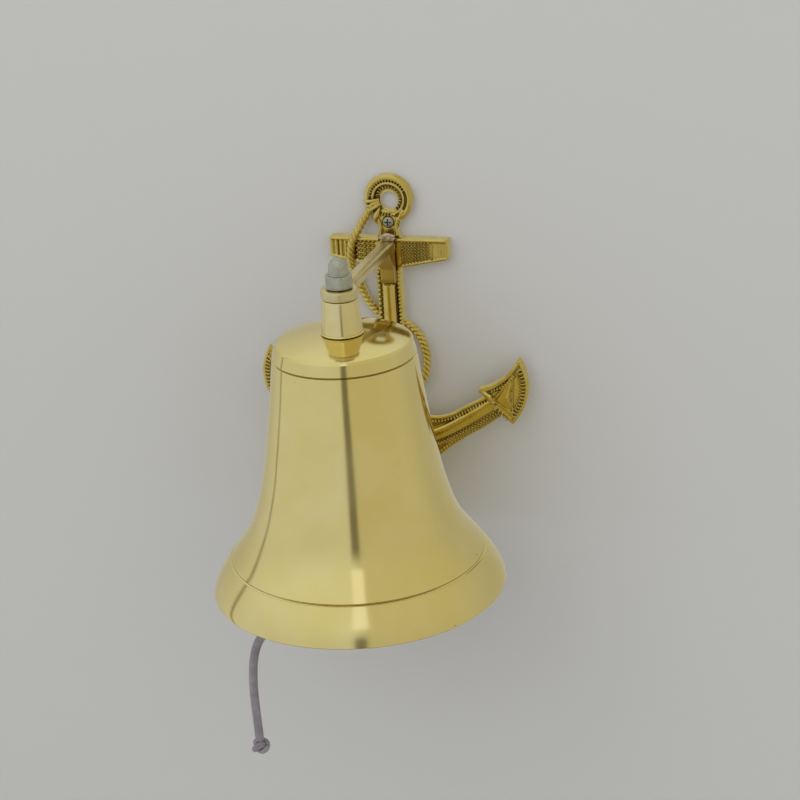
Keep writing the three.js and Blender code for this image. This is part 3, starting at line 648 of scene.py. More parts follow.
# %% Dress the lanyard
finish_piece(cord_piece, "clapper", COTTON, "cotton_cord", "lanyard_cord")
finish_piece(stopper_piece, "clapper", COTTON, "cotton_cord", "lanyard_stopper_knot")
finish_piece(end_piece, "clapper", COTTON, "cotton_cord", "lanyard_end_knot")

# %% [markdown]
# ## The bell
# A bell is cast and then turned, so a profile spun round its axis is the real way to make it. The
# outside is drawn in three stretches: the bow, which swells out to a thin lip, the long waist, and
# the crown with its small round edge. A thin groove is cut at each end of the waist. Many segments
# keep the mirror finish free of facets.

# %% Draw the bell's profile
BOW_HEIGHT, BOW_RADIUS = 19.0, 66.0
SHOULDER_HEIGHT, SHOULDER_RADIUS = 126.5, 36.4
CROWN_EDGE_RADIUS, CROWN_EDGE_ROUND = 35.2, 2.4
CROWN_DROP = 3.2  # the crown is domed, and falls this far from the boss to its edge
BOSS_FOOT_RADIUS = 10.9
GROOVE_HALF_WIDTH, GROOVE_DEPTH = 0.5, 0.75
STUD_HOLE, WASHER_RADIUS = 4.3, 10.0
LIP_WALL, BOW_WALL, WAIST_WALL, CROWN_WALL = 1.4, 4.4, 2.8, 4.2


def groove(radius, height, slope):
    """A round-bottomed groove across a wall whose radius changes by slope for each unit of height."""
    profile = []
    for h in np.linspace(-GROOVE_HALF_WIDTH, GROOVE_HALF_WIDTH, 7):
        sunk = GROOVE_DEPTH * math.cos(math.pi * h / 2 / GROOVE_HALF_WIDTH) ** 0.6
        profile.append((radius + slope * h - sunk, height + h))
    return profile


def bell_outside():
    """(radius, height above the lip) points from the lip up to the crown."""
    share = np.linspace(0, 1, 30)[:, None]
    pulls = np.array([(MOUTH_RADIUS, 0.5), (MOUTH_RADIUS - 0.2, BOW_HEIGHT * 0.26),
                      (BOW_RADIUS + 4.8, BOW_HEIGHT * 0.66), (BOW_RADIUS + 0.35, BOW_HEIGHT - 0.6)])
    bow = ((1 - share) ** 3 * pulls[0] + 3 * share * (1 - share) ** 2 * pulls[1]
           + 3 * share ** 2 * (1 - share) * pulls[2] + share ** 3 * pulls[3])
    rise, fall = SHOULDER_HEIGHT - BOW_HEIGHT, BOW_RADIUS - SHOULDER_RADIUS
    waist = [(0, 1), (0.105, 0.7), (0.195, 0.53), (0.29, 0.436), (0.38, 0.345), (0.57, 0.222),
             (0.755, 0.115), (1, 0)]
    side = through([(SHOULDER_RADIUS + fall * left, BOW_HEIGHT + rise * up) for up, left in waist], 1.6)
    for _ in range(30):
        side[1:-1] = (side[:-2] + 2 * side[1:-1] + side[2:]) / 4
    side = [p for p in side if BOW_HEIGHT + 0.6 < p[1] < SHOULDER_HEIGHT - 0.7]
    crown_edge = BELL_HEIGHT - CROWN_DROP
    edge = [(CROWN_EDGE_RADIUS - CROWN_EDGE_ROUND * (1 - math.cos(turn)),
             crown_edge - CROWN_EDGE_ROUND * (1 - math.sin(turn))) for turn in np.linspace(0, 1.35, 10)]
    dome = bent(edge[-1], (24, BELL_HEIGHT - 0.7), (BOSS_FOOT_RADIUS + 1, BELL_HEIGHT), 12)[1:]
    return ([tuple(p) for p in bow] + groove(BOW_RADIUS, BOW_HEIGHT, -0.9) + [tuple(p) for p in side]
            + groove(SHOULDER_RADIUS, SHOULDER_HEIGHT, -0.1) + edge + [tuple(p) for p in dome])


# %% Give the bell its wall and turn it
def bell_profile():
    outside = bell_outside()
    wall_outside = [(r, h) for r, h in outside if h < SHOULDER_HEIGHT + 1]
    heights, radii = [h for _, h in wall_outside], [r for r, _ in wall_outside]
    walls = [(0.075, BOW_WALL), (0.16, BOW_WALL), (0.28, WAIST_WALL * 1.2), (0.42, WAIST_WALL),
             (0.62, WAIST_WALL), (0.9, WAIST_WALL)]
    inside = through([(np.interp(share * BELL_HEIGHT, heights, radii) - wall, share * BELL_HEIGHT)
                      for share, wall in reversed(walls)], 3.0)
    ceiling = BELL_HEIGHT - CROWN_WALL
    inner_edge, inner_radius = ceiling - CROWN_DROP * 0.7, CROWN_EDGE_RADIUS - WAIST_WALL
    crown = [(STUD_HOLE, BELL_HEIGHT), (STUD_HOLE, ceiling), (WASHER_RADIUS + 1, ceiling),
             (inner_radius - 4, inner_edge), (inner_radius - 1.2, inner_edge - 1),
             (inner_radius, inner_edge - 3)]
    lip = [(MOUTH_RADIUS - LIP_WALL, 0.25), (MOUTH_RADIUS - LIP_WALL * 0.75, 0),
           (MOUTH_RADIUS - LIP_WALL * 0.25, 0)]
    return outside + crown + [tuple(p) for p in inside] + lip + [outside[0]]


bell = made("turned_bell", [turned(bell_profile(), 240, (0, AXIS_Y, LIP))], sharp=35)
finish_piece(bell, "root", BELL_BRASS, "polished_brass", "bell_shell")
print(f"bell {2 * MOUTH_RADIUS:.0f} mm across its mouth and {BELL_HEIGHT:.1f} mm high")

# %% [markdown]
# ## Nuts
# A hexagon nut starts as a bar of six flats, and the lathe then chamfers both ends, which leaves the
# curved corners that make it look real. The same two steps are used here: a hexagonal shell, cut
# down to a turned one by a boolean.

# %% Cut one object by another
def cut(thing, shells, operation="DIFFERENCE"):
    """Cuts, or with INTERSECT trims, an object by some shells."""
    tool = made("cutter", shells)
    boolean = thing.modifiers.new("cut", "BOOLEAN")
    boolean.operation, boolean.object, boolean.solver = operation, tool, "EXACT"
    settle(thing)
    mesh = tool.data
    bpy.data.objects.remove(tool)
    bpy.data.meshes.remove(mesh)
    return thing


def softened(thing, width, sharp=30, steps=2):
    """Rounds an object's sharp edges by a small width."""
    bevel = thing.modifiers.new("bevel", "BEVEL")
    bevel.width, bevel.segments, bevel.angle_limit = width * MM, steps, math.radians(sharp)
    settle(thing)
    thing.data.shade_smooth()
    thing.data.set_sharp_from_angle(angle=math.radians(sharp + 10))
    return thing


def hexagon(across_flats, bottom, top, turn, place):
    """A six-sided bar with closed ends, one corner turned away from the front."""
    corner = across_flats / 2 / math.cos(math.pi / 6)
    points = []
    for height in (bottom, top):
        for side in range(6):
            angle = turn - math.pi / 2 + side * math.pi / 3
            points.append((place[0] + corner * math.cos(angle), place[1] + corner * math.sin(angle),
                           place[2] + height))
    faces = [(5, 4, 3, 2, 1, 0), (6, 7, 8, 9, 10, 11)]
    faces += [(s, (s + 1) % 6, 6 + (s + 1) % 6, 6 + s) for s in range(6)]
    return points, faces


def hex_nut(name, across_flats, height, hole, turn, place):
    """A nut, chamfered at both ends, standing on its place."""
    nut = made(name, [hexagon(across_flats, 0, height, turn, place)])
    flat, chamfer = across_flats / 2, 0.45
    trim = [(hole, 0), (flat - 0.1, 0), (flat + chamfer * 2.2, chamfer * 1.3),
            (flat + chamfer * 2.2, height - chamfer * 1.3), (flat - 0.1, height), (hole, height), (hole, 0)]
    cut(nut, [turned(trim, 72, place)], "INTERSECT")
    return softened(nut, 0.16)


# %% [markdown]
# ### The acorn nut
# The domed nut closes the top of the stud, so that no thread shows. Its dome is a separate cap
# pressed on the hexagon, with a fine step between them.

# %% Make the acorn nut
acorn_low, acorn_high = low_high("acorn_nut")
ACORN_HEX_HEIGHT = 6.8
ACORN_TURN = math.pi / 7.5
NUT_ACROSS_FLATS = 13.0
DOME_RADIUS = 4.85
dome_top = acorn_high[2] - acorn_low[2]
dome_neck = dome_top - DOME_RADIUS
acorn = hex_nut("acorn_nut_steel", NUT_ACROSS_FLATS, ACORN_HEX_HEIGHT, STUD_HOLE, ACORN_TURN,
                (0, AXIS_Y, acorn_low[2]))
dome = [(0, ACORN_HEX_HEIGHT - 0.5), (DOME_RADIUS + 0.5, ACORN_HEX_HEIGHT - 0.5),
        (DOME_RADIUS + 0.5, ACORN_HEX_HEIGHT + 0.15), (DOME_RADIUS + 0.15, ACORN_HEX_HEIGHT + 0.5)]
dome += [(DOME_RADIUS * math.cos(a), dome_neck + DOME_RADIUS * math.sin(a))
         for a in np.linspace(0, math.pi / 2, 14)]
dome[-1] = (0, dome_top)
cap = made("cap", [turned(dome, 64, (0, AXIS_Y, acorn_low[2]))])


def merge(kept, *others):
    """Joins other objects into the first one."""
    work = bmesh.new()
    for thing in (kept, *others):
        work.from_mesh(thing.data)
    work.to_mesh(kept.data)
    work.free()
    for thing in others:
        mesh = thing.data
        bpy.data.objects.remove(thing)
        bpy.data.meshes.remove(mesh)
    return kept


finish_piece(merge(acorn, cap), "root", ZINC, "zinc_steel", "acorn_nut")

# %% [markdown]
# ## The boss
# A short turned cone with a flared foot stands between the arm and the crown. It is the same brass
# as the bell, and a small groove and step near its foot catch the light.

# %% Turn the boss
boss_low, boss_high = low_high("crown_boss")
BOSS_TOP_RADIUS, BOSS_BOTTOM_RADIUS = 9.1, 10.35
boss_height = boss_high[2] - boss_low[2]
boss_profile = [
    (STUD_HOLE, 0), (BOSS_FOOT_RADIUS - 0.3, 0), (BOSS_FOOT_RADIUS, 0.25), (BOSS_FOOT_RADIUS, 0.6),
    (BOSS_FOOT_RADIUS - 0.35, 1.05), (BOSS_BOTTOM_RADIUS + 0.25, 1.5), (BOSS_BOTTOM_RADIUS, 2.3),
    (BOSS_BOTTOM_RADIUS - 0.1, 3.2),
    (BOSS_TOP_RADIUS + 0.1, boss_height - 1.4), (BOSS_TOP_RADIUS, boss_height - 0.4),
    (BOSS_TOP_RADIUS - 0.35, boss_height), (STUD_HOLE, boss_height), (STUD_HOLE, 0),
]
boss = made("turned_boss", [turned(boss_profile, 120, (0, AXIS_Y, boss_low[2]))], sharp=35)
finish_piece(boss, "root", TURNED_BRASS, "turned_brass", "crown_boss")

# %% [markdown]
# ## Castings out of many small shapes
# A casting is one lump, however many beads and ribs it has. Booleans between hundreds of shapes are
# slow and fragile, so the shapes are laid into each other and the whole heap is skinned at once with
# a voxel remesh. That also rounds every inner corner a little, as a sand mould does.

# %% Skin a heap of shells
def skinned(name, shells, voxel, keep=1.0, rounds=2):
    """One closed skin over overlapping shells."""
    heap = made(name, shells)
    remesh = heap.modifiers.new("skin", "REMESH")
    remesh.mode, remesh.voxel_size = "VOXEL", voxel * MM
    settle(heap)
    if rounds:
        smooth = heap.modifiers.new("smooth", "SMOOTH")
        smooth.factor, smooth.iterations = 0.5, rounds
    if keep < 1:
        thin = heap.modifiers.new("thin", "DECIMATE")
        thin.ratio = keep
    settle(heap)
    heap.data.shade_smooth()
    return heap


def plate(outline, depth, bevel=0.9, back=0.0):
    """A flat outline in (x, z), standing out to a depth, its front edge softened, its back flat."""
    curve = bpy.data.curves.new("plate", "CURVE")
    curve.dimensions, curve.fill_mode = "2D", "BOTH"
    spline = curve.splines.new("POLY")
    spline.points.add(len(outline) - 1)
    for point, (x, z) in zip(spline.points, outline):
        point.co = (x, z, 0, 1)
    spline.use_cyclic_u = True
    curve.extrude, curve.bevel_depth, curve.offset = depth - bevel, bevel, -bevel
    curve.bevel_resolution = 2
    thing = bpy.data.objects.new("plate", curve)
    scene.collection.objects.link(thing)
    mesh = bpy.data.meshes.new_from_object(thing.evaluated_get(bpy.context.evaluated_depsgraph_get()))
    work = bmesh.new()
    work.from_mesh(mesh)
    bmesh.ops.remove_doubles(work, verts=work.verts, dist=1e-4)
    sliced = bmesh.ops.bisect_plane(work, geom=work.verts[:] + work.edges[:] + work.faces[:],
                                    plane_co=(0, 0, back), plane_no=(0, 0, -1), clear_outer=True)
    edge = [e for e in sliced["geom_cut"] if isinstance(e, bmesh.types.BMEdge)]
    bmesh.ops.edgeloop_fill(work, edges=edge)
    points = [(v.co.x, -v.co.z, v.co.y) for v in work.verts]
    faces = [tuple(v.index for v in f.verts) for f in work.faces]
    work.free()
    bpy.data.objects.remove(thing)
    bpy.data.curves.remove(curve)
    bpy.data.meshes.remove(mesh)
    return points, faces


def deepened(flat_line, depth):
    """A flat (x, z) line set at a depth in front of the wall."""
    flat_line = np.asarray(flat_line, float)
    return np.stack([flat_line[:, 0], np.full(len(flat_line), -float(depth)), flat_line[:, 1]], axis=1)


# %% [markdown]
# ## The anchor
# The bracket is one casting in the shape of an anchor, flat at the back. From the top it has a ring,
# a neck with the screw in it, the stock across, the shank down behind the bell, and two arms with
# flukes. Each part gets its own function that returns shells, and they are skinned together.

# %% Beads, teeth and rims along a line
def beads(flat_line, pitch, depth, radius):
    """Round beads a steady pitch apart."""
    places, _ = spaced(flat_line, pitch)
    return [bead((x, -depth, z), radius) for x, z in places]


def teeth(flat_line, pitch, depth, length, width, height):
    """Long beads lying across a line, like the teeth of a comb."""
    places, ahead = spaced(flat_line, pitch)
    return [bead((x, -depth, z), (length / 2, height, width / 2), math.atan2(dx, -dz))
            for (x, z), (dx, dz) in zip(places, ahead)]


def rim(flat_line, depth, radius):
    """A round rib along a line."""
    return swept(deepened(flat_line, depth), radius, sides=12)


def arc(centre, radius, start, end, pieces=None):
    """Points round part of a circle, in degrees from the right and counted upwards."""
    pieces = pieces or max(6, int(abs(end - start) / 5))
    turns = np.radians(np.linspace(start, end, pieces + 1))
    return np.stack([centre[0] + radius * np.cos(turns), centre[1] + radius * np.sin(turns)], axis=1)


# %% The ring and the neck
RING_CENTRE, RING_RADIUS, RING_DEPTH = (0.8, 26.7), 13.3, 5.0
RING_HOLE_CENTRE, RING_HOLE_RADIUS = (0.8, 25.3), 5.0
SCREW_HEIGHT = 14.0
NECK_HALF_WIDTH = 4.9
STOCK_TOP = 5.7


def ring_shells():
    """The ring: a round outer band, a thin ridge inside it, and notches on both sides of the ridge."""
    shells = [plate(arc(RING_CENTRE, RING_RADIUS - 0.3, 0, 355), RING_DEPTH - 2.8, 0.9)]
    band = arc(RING_CENTRE, RING_RADIUS - 1.7, -70, 196)
    shells.append(swept(deepened(band, RING_DEPTH - 1.9), 1.7, sides=16))
    shells.append(rim(arc(RING_CENTRE, 10.1, -74, 192), RING_DEPTH - 2.6, 1.2))
    shells.append(rim(arc(RING_CENTRE, 8.5, -78, 186), RING_DEPTH - 1.0, 0.75))
    shells += teeth(arc(RING_CENTRE, 10.3, 24, 176), 1.7, RING_DEPTH - 1.5, 2.2, 1.0, 1.2)
    shells += teeth(arc(RING_CENTRE, 6.5, -62, 170), 1.7, RING_DEPTH - 2.5, 2.9, 0.95, 1.1)
    return shells


def neck_shells():
    """The neck: a plate round the screw, with a raised edge that opens upwards in a V."""
    top = RING_HOLE_CENTRE[1] - RING_HOLE_RADIUS + 0.6
    flare = NECK_HALF_WIDTH + 3
    outline = [(-flare, STOCK_TOP - 2), (flare, STOCK_TOP - 2), (NECK_HALF_WIDTH, STOCK_TOP + 3),
               (flare - 0.6, 17.5), (5.4, top), (-5.0, top), (-flare + 1.2, 17.5),
               (-NECK_HALF_WIDTH, STOCK_TOP + 3)]
    shells = [plate(outline, RING_DEPTH - 1.4)]
    left = through([(-4.4, STOCK_TOP + 1), (-4.1, 10.5), (-5.0, 14.5), (-6.4, 17.6)], 1)
    right = through([(4.4, STOCK_TOP + 1), (4.1, 10.5), (5.0, 14.5), (7.2, 18.2), (9.0, 21.0)], 1)
    shells += [rim(left, RING_DEPTH - 0.9, 0.95), rim(right, RING_DEPTH - 0.9, 0.95)]
    shells += teeth([(-3.6, 18.2), (4.6, 18.2)], 1.6, RING_DEPTH - 0.7, 2.0, 0.95, 0.9)
    shells += teeth([(5.6, 11.5), (7.6, 19.5)], 1.5, RING_DEPTH - 0.9, 2.2, 0.8, 0.9)
    return shells


# %% The stock
STOCK_HALF_LENGTH, STOCK_DEPTH = 32.6, 7.0
STOCK_END_BOTTOM, STOCK_MIDDLE_BOTTOM = -5.1, -10.2
SHANK_HALF_WIDTH = 7.2


def stock_bottom(x):
    """The lower edge of the stock, which rises towards its ends."""
    return float(np.interp(abs(x), (SHANK_HALF_WIDTH, STOCK_HALF_LENGTH),
                           (STOCK_MIDDLE_BOTTOM, STOCK_END_BOTTOM)))


def stock_shells():
    """The stock: a bar with rims along its edges, upright ribs at its ends and a field of beads between."""
    half = [(SHANK_HALF_WIDTH, STOCK_MIDDLE_BOTTOM), (STOCK_HALF_LENGTH, STOCK_END_BOTTOM),
            (STOCK_HALF_LENGTH, STOCK_TOP)]
    outline = half + [(-x, z) for x, z in reversed(half)]
    floor = STOCK_DEPTH - 1.5  # the sunken field, below the rims
    shells = [plate(outline, floor, 0.6)]
    for side, pitch, first, last in ((1, 1.8, 7.6, 23.4), (-1, 2.3, 8.4, 22.4)):
        top = [(side * 5, STOCK_TOP - 0.75), (side * (STOCK_HALF_LENGTH - 0.9), STOCK_TOP - 0.75)]
        low = [(side * x, stock_bottom(x) + 0.8) for x in (6.5, STOCK_HALF_LENGTH - 0.9)]
        shells += [rim(top, STOCK_DEPTH - 0.9, 0.85), rim(low, STOCK_DEPTH - 0.9, 0.85)]
        for x in np.arange(first, last, pitch):
            low_z, high_z = stock_bottom(x) + 2.0, STOCK_TOP - 2.0
            rows = round((high_z - low_z) / pitch) + 1
            for z in np.linspace(high_z, low_z, rows):
                shells.append(bead((side * x, -floor, z), (pitch * 0.38, 1.35, pitch * 0.36)))
        for x in np.linspace(last + 1.5, STOCK_HALF_LENGTH - 0.9, 5 if side > 0 else 4):
            upright = [(side * x, stock_bottom(x) + 0.6), (side * x, STOCK_TOP - 0.7)]
            shells.append(swept(deepened(upright, floor - 0.1), 0.85 if side > 0 else 1.15, sides=12))
    return shells


# %% The shank
SHANK_DEPTH, SHANK_RIDGE_RADIUS = 6.0, 3.5
SHANK_TOP, SHANK_BOTTOM = -19.3, -114.0


def shank_shells():
    """The shank: a polished half-round between two rows of beads, larger on the left."""
    outline = [(-8.2, -118), (5.6, -118), (5.6, 3), (-8.2, 3)]
    ridge = [(-0.8, -SHANK_DEPTH - 1, SHANK_TOP), (-0.8, -SHANK_DEPTH - 1, SHANK_BOTTOM)]
    shells = [plate(outline, SHANK_DEPTH - 1.0, 0.7)]
    shells.append(swept(ridge, SHANK_RIDGE_RADIUS, sides=32, squash=0.85))
    shells += beads([(-6.5, -12), (-6.5, SHANK_BOTTOM)], 2.5, SHANK_DEPTH - 0.8, (1.4, 1.3, 1.12))
    shells += beads([(4.1, -12), (4.1, SHANK_BOTTOM)], 2.15, SHANK_DEPTH - 0.9, (1.1, 1.2, 0.95))
    shells += beads([(-3.4, SHANK_TOP + 0.3), (1.8, SHANK_TOP + 0.3)], 1.3, SHANK_DEPTH + 2.4, 0.62)
    return shells


# %% The arms
ARM_BACK_DEPTH = 8.5  # arms and flukes clear the wall by this
ARM_DEPTH, ARM_RIDGE_RADIUS, ARM_RIDGE_DEPTH = 12.0, 3.3, 11.2
ARM_UPPER_EDGE = [(SHANK_HALF_WIDTH, -86), (13.7, -91), (21.7, -92.5),
                  (30.6, -90.4), (39.1, -85.5), (54.7, -77)]
ARM_LOWER_EDGE = [(58.7, -90.4), (49.4, -97.2), (41, -102.6),
                  (32.4, -108.4), (24.2, -115.2), (11.8, -125.6)]
ARM_RIDGE = [(0, -110), (14.7, -105.4), (26.7, -100.4), (39.7, -93), (50.7, -86), (55.7, -82.6)]
ANCHOR_TIP = (0, -132)
CROWN_BLOCK_TOP, CROWN_BLOCK_BOTTOM = -90, -128  # the block that joins the arms to the wall


def crown_block_shells():
    """The block behind the arms, which carries the pull of the lower screw to the wall."""
    outline = [(-SHANK_HALF_WIDTH, CROWN_BLOCK_BOTTOM), (SHANK_HALF_WIDTH, CROWN_BLOCK_BOTTOM),
               (SHANK_HALF_WIDTH, CROWN_BLOCK_TOP), (-SHANK_HALF_WIDTH, CROWN_BLOCK_TOP)]
    return [plate(outline, ARM_BACK_DEPTH + 1)]


def arm_shells(side):
    """One arm: a smooth upper rim, beads, a broad half-round, beads again, and teeth to its lower edge."""
    def handed(line):
        return np.asarray(line, float) * (side, 1)

    upper, lower = through(ARM_UPPER_EDGE, 1.5), through(ARM_LOWER_EDGE, 1.5)
    ridge = through(ARM_RIDGE, 1.2)
    outline = np.concatenate([[(-0.5, -86)], upper, lower, [ANCHOR_TIP], [(-0.5, ANCHOR_TIP[1])]])
    shells = [plate(handed(outline), ARM_DEPTH - 1.6, 0.7, ARM_BACK_DEPTH)]
    shells.append(swept(deepened(handed(ridge), ARM_RIDGE_DEPTH),
                        lambda share: ARM_RIDGE_RADIUS * (1.1 - 0.2 * share), sides=32, squash=0.62))
    shells.append(rim(handed(shifted(upper, -0.95)), ARM_DEPTH - 1.5, 0.95))
    inner = ridge[ridge[:, 0] > 7]
    shells += beads(handed(shifted(upper[4:], -2.75)), 1.8, ARM_DEPTH - 1.6, (0.8, 1.35, 0.8))
    shells += teeth(handed(shifted(inner, -ARM_RIDGE_RADIUS - 1.9)), 2.0, ARM_DEPTH - 1.6, 2.2, 1.3, 1.3)
    shells += teeth(handed(shifted(lower, -1.2)), 1.9, ARM_DEPTH - 1.7, 2.6, 1.0, 1.25)
    return shells


# %% The flukes
FLUKE_DEPTH, FLUKE_FACET_RISE = 14.0, 1.6
FLUKE_BARB, FLUKE_TIP, FLUKE_LOW_TIP = (47.5, -74), (70.1, -55.9), (65.4, -94.4)
FLUKE_UPPER_PULL, FLUKE_OUTER_PULL = (61.7, -71), (81.7, -75)
FLUKE_HEEL = [(57, -86.5), (51, -78)]
FACET = [(55.4, -80.4), (66.9, -65.6), (65.8, -87.4)]


def fluke_shells(side):
    """One fluke: a thick upper rim, a raised three-sided facet, and ribs fanned along the outer edge."""
    def handed(line):
        return np.asarray(line, float) * (side, 1)

    upper = bent(FLUKE_BARB, FLUKE_UPPER_PULL, FLUKE_TIP)
    outer = bent(FLUKE_TIP, FLUKE_OUTER_PULL, FLUKE_LOW_TIP, 24)
    outline = np.concatenate([upper, outer[1:], FLUKE_HEEL])
    floor = FLUKE_DEPTH - 2.0  # the sunken field between the rims
    shells = [plate(handed(outline), floor, 1.0, ARM_BACK_DEPTH)]
    shells.append(swept(deepened(handed(shifted(upper, -1.5)[:-1]), FLUKE_DEPTH - 2.2),
                        lambda share: 1.7 - 1.1 * share, sides=14))
    shells += beads(handed(shifted(upper[3:-2], -3.7)), 1.6, floor, (0.75, 1.5, 0.75))
    shells += teeth(handed(shifted(outer[3:-2], -3.1)), 1.9, floor + 0.1, 3.6, 1.2, 1.15)
    shells.append(rim(handed(shifted(outer[1:-1], -1.0)), floor - 0.1, 0.95))
    shells += teeth(handed([(55.8, -84.6), (63.6, -91.6)]), 1.8, floor, 2.8, 1.1, 1.1)
    base, crest_depth = floor - 0.4, FLUKE_DEPTH + FLUKE_FACET_RISE
    heel, top, low = (np.array(p) for p in FACET)
    crest = [heel * 0.72 + (top + low) * 0.14, (top + low) * 0.38 + heel * 0.24]
    flat = [heel, top, low] + crest
    facet = [(side * x, -base, z) for x, z in flat[:3]] + [(side * x, -crest_depth, z) for x, z in flat[3:]]
    shells.append((facet, [(0, 2, 1), (0, 1, 3), (0, 3, 2), (1, 4, 3), (2, 3, 4), (1, 2, 4)]))
    for start, end in ((heel, top), (heel, low), (top, low)):
        shells.append(rim(handed([start, end]), floor + 0.6, 0.42))
    shells.append(swept(deepened(handed([(49.2, -75.6), (53.4, -78.4), (55.8, -82.4)]), floor + 0.6),
                        lambda share: 0.9 + 1.1 * math.sin(math.pi * share), sides=14))
    return shells


# %% [markdown]
# ### The cast rope
# A rope is cast round the anchor: it grips the ring, crosses over the stock, runs behind the bracket
# arm and the shank, and sweeps out to the right before it dives behind the bell. It is a three-strand
# rope, so three bars are wound round one line. The winding shows as slanting grooves.

# %% The rope and its turns on the ring
ROPE_RADIUS, ROPE_LAY = 2.3, 8.4


def rope_line():
    low, over = -ROPE_RADIUS, -STOCK_DEPTH - 0.7
    return through([
        (-7.5, low - 2.4, 23), (-10.5, low - 1.5, 19), (-15.5, low - 2, 11.5), (-19.3, over, 4),
        (-20.8, over, -4), (-20.6, low - 3, -11.5), (-18.8, low, -20), (-14.5, low, -30.5),
        (-8, low, -38), (0, low, -41), (7, low, -43.2), (12.5, low, -48), (15.8, low, -55.5),
        (16.8, low, -64), (15.2, low, -72), (11, low, -79),
    ], 0.55)


def twisted(line, radius, lay):
    """Three strands wound round a line."""
    line = np.asarray(line, float)
    reach = np.concatenate([[0], np.cumsum(np.linalg.norm(np.diff(line, axis=0), axis=1))])
    ahead = np.gradient(line, axis=0)
    ahead /= np.linalg.norm(ahead, axis=1)[:, None]
    side = np.cross(ahead, (0, 1, 0))
    side /= np.linalg.norm(side, axis=1)[:, None]
    up = np.cross(ahead, side)
    shells = [swept(line, radius * 0.5, sides=10)]
    for strand in range(3):
        turn = -FULL_TURN * reach / lay + strand * FULL_TURN / 3
        centre = line + 0.6 * radius * (np.cos(turn)[:, None] * side + np.sin(turn)[:, None] * up)
        shells.append(swept(centre, radius * 0.44, sides=10))
    return shells


def rope_shells():
    shells = twisted(rope_line(), ROPE_RADIUS, ROPE_LAY)
    for angle in (183, 196, 209):
        turn = math.radians(angle)
        out = np.array([math.cos(turn), math.sin(turn)])
        across = np.array([-out[1], out[0]]) * 0.9
        start, end = np.array(RING_CENTRE) + out * 5.4, np.array(RING_CENTRE) + out * 13.4
        hump = [(*start, 3.4), (*(start * 0.75 + end * 0.25 + across * 0.3), 5.4),
                (*((start + end) / 2 + across * 0.5), 6.1),
                (*(start * 0.25 + end * 0.75 + across * 0.7), 5.4),
                (*(end + across), 3.0)]
        shells.append(swept(through([(x, -deep, z) for x, z, deep in hump], 0.6), 0.9, sides=12))
    leaf = through([(-4.0, -4.6, 22.0), (-5.6, -5.2, 18.5), (-6.6, -4.4, 15.4), (-5.4, -3.4, 12.6)], 0.6)
    shells.append(swept(leaf, lambda share: 0.5 + 1.1 * math.sin(math.pi * share), sides=12))
    return shells


# %% Skin the whole anchor
CASTING_VOXEL = 0.27
CASTING_KEEP = 0.55
heap = ring_shells() + neck_shells() + stock_shells() + shank_shells() + rope_shells()
heap += crown_block_shells()
for hand in (1, -1):
    heap += arm_shells(hand) + fluke_shells(hand)
print("the anchor is a heap of", len(heap), "shapes")
anchor = skinned("anchor_bracket", heap, CASTING_VOXEL, rounds=1)


# %% [markdown]
# The back of a wall casting is ground flat, and the two screws need their seats, so the skin is cut
# by a slab behind the wall plane and by a pocket and a hole at each screw. The result is thinned,
# because flat ground needs far fewer faces than the beads do.

# %% Grind the back and drill the seats
SCREW_HEIGHTS = {"wall_screw_upper": SCREW_HEIGHT, "wall_screw_lower": -121.0}
SCREW_HEAD_RADIUS, SCREW_SHANK_RADIUS, SEAT_DEPTH = 3.1, 1.6, 2.0


def along_wall_normal(profile, height, segments=48):
    """A profile of (radius, distance in front of the wall), turned about a line square to the wall."""
    points, faces = turned(profile, segments)
    return [(x, -z, y + height) for x, y, z in points], faces


slab = ([(x, y, z) for x in (-120, 120) for y in (0, 30) for z in (-180, 80)],
        [(0, 1, 3, 2), (4, 6, 7, 5), (0, 4, 5, 1), (2, 3, 7, 6), (0, 2, 6, 4), (1, 5, 7, 3)])
cut(anchor, [slab])
drill = [(0, -2), (RING_HOLE_RADIUS, -2), (RING_HOLE_RADIUS, 9), (0, 9)]
hole_points, hole_faces = along_wall_normal(drill, RING_HOLE_CENTRE[1])
cut(anchor, [([(x + RING_HOLE_CENTRE[0], y, z) for x, y, z in hole_points], hole_faces)])
for height in SCREW_HEIGHTS.values():
    seat = [(0, -5), (SCREW_SHANK_RADIUS + 0.3, -5), (SCREW_SHANK_RADIUS + 0.3, SEAT_DEPTH),
            (SCREW_HEAD_RADIUS + 0.3, SEAT_DEPTH), (SCREW_HEAD_RADIUS + 0.5, 16), (0, 16)]
    cut(anchor, [along_wall_normal(seat, height)])
thin = anchor.modifiers.new("thin", "DECIMATE")
thin.ratio = CASTING_KEEP
settle(anchor)
anchor.data.shade_smooth()
anchor.data.set_sharp_from_angle(angle=math.radians(55))
finish_piece(anchor, "root", CAST_BRASS, "cast_brass", "anchor_casting")

# %% [markdown]
# ## Wall screws
# Two raised-head screws hold the casting: one shows in the neck, the other is low in the crown of the
# anchor, behind the bell. The thread bites in the wall, so it is modelled too.

# %% A screw thread
def threaded(radius, pitch, low, high, point=0.0, sides=32):
    """A threaded bar along Z, drawn down to a point over its lowest stretch if point is given."""
    rows = int((high - low) / (pitch / 6))
    points, faces = [], []
    for row in range(rows + 1):
        height = low + (high - low) * row / rows
        taper = min(1.0, (height - low) / point + 0.05) if point else 1.0
        for k in range(sides):
            share = (height / pitch - k / sides) % 1.0
            depth = pitch * 0.5 * abs(2 * share - 1)
            r = max(0.05, (radius - depth * 0.8) * taper)
            angle = FULL_TURN * k / sides
            points.append((r * math.cos(angle), r * math.sin(angle), height))
    for row in range(rows):
        here, there = row * sides, (row + 1) * sides
        for k in range(sides):
            after = (k + 1) % sides
            faces.append((here + k, here + after, there + after, there + k))
    faces += [tuple(reversed(range(sides))), tuple(range(rows * sides, (rows + 1) * sides))]
    return points, faces


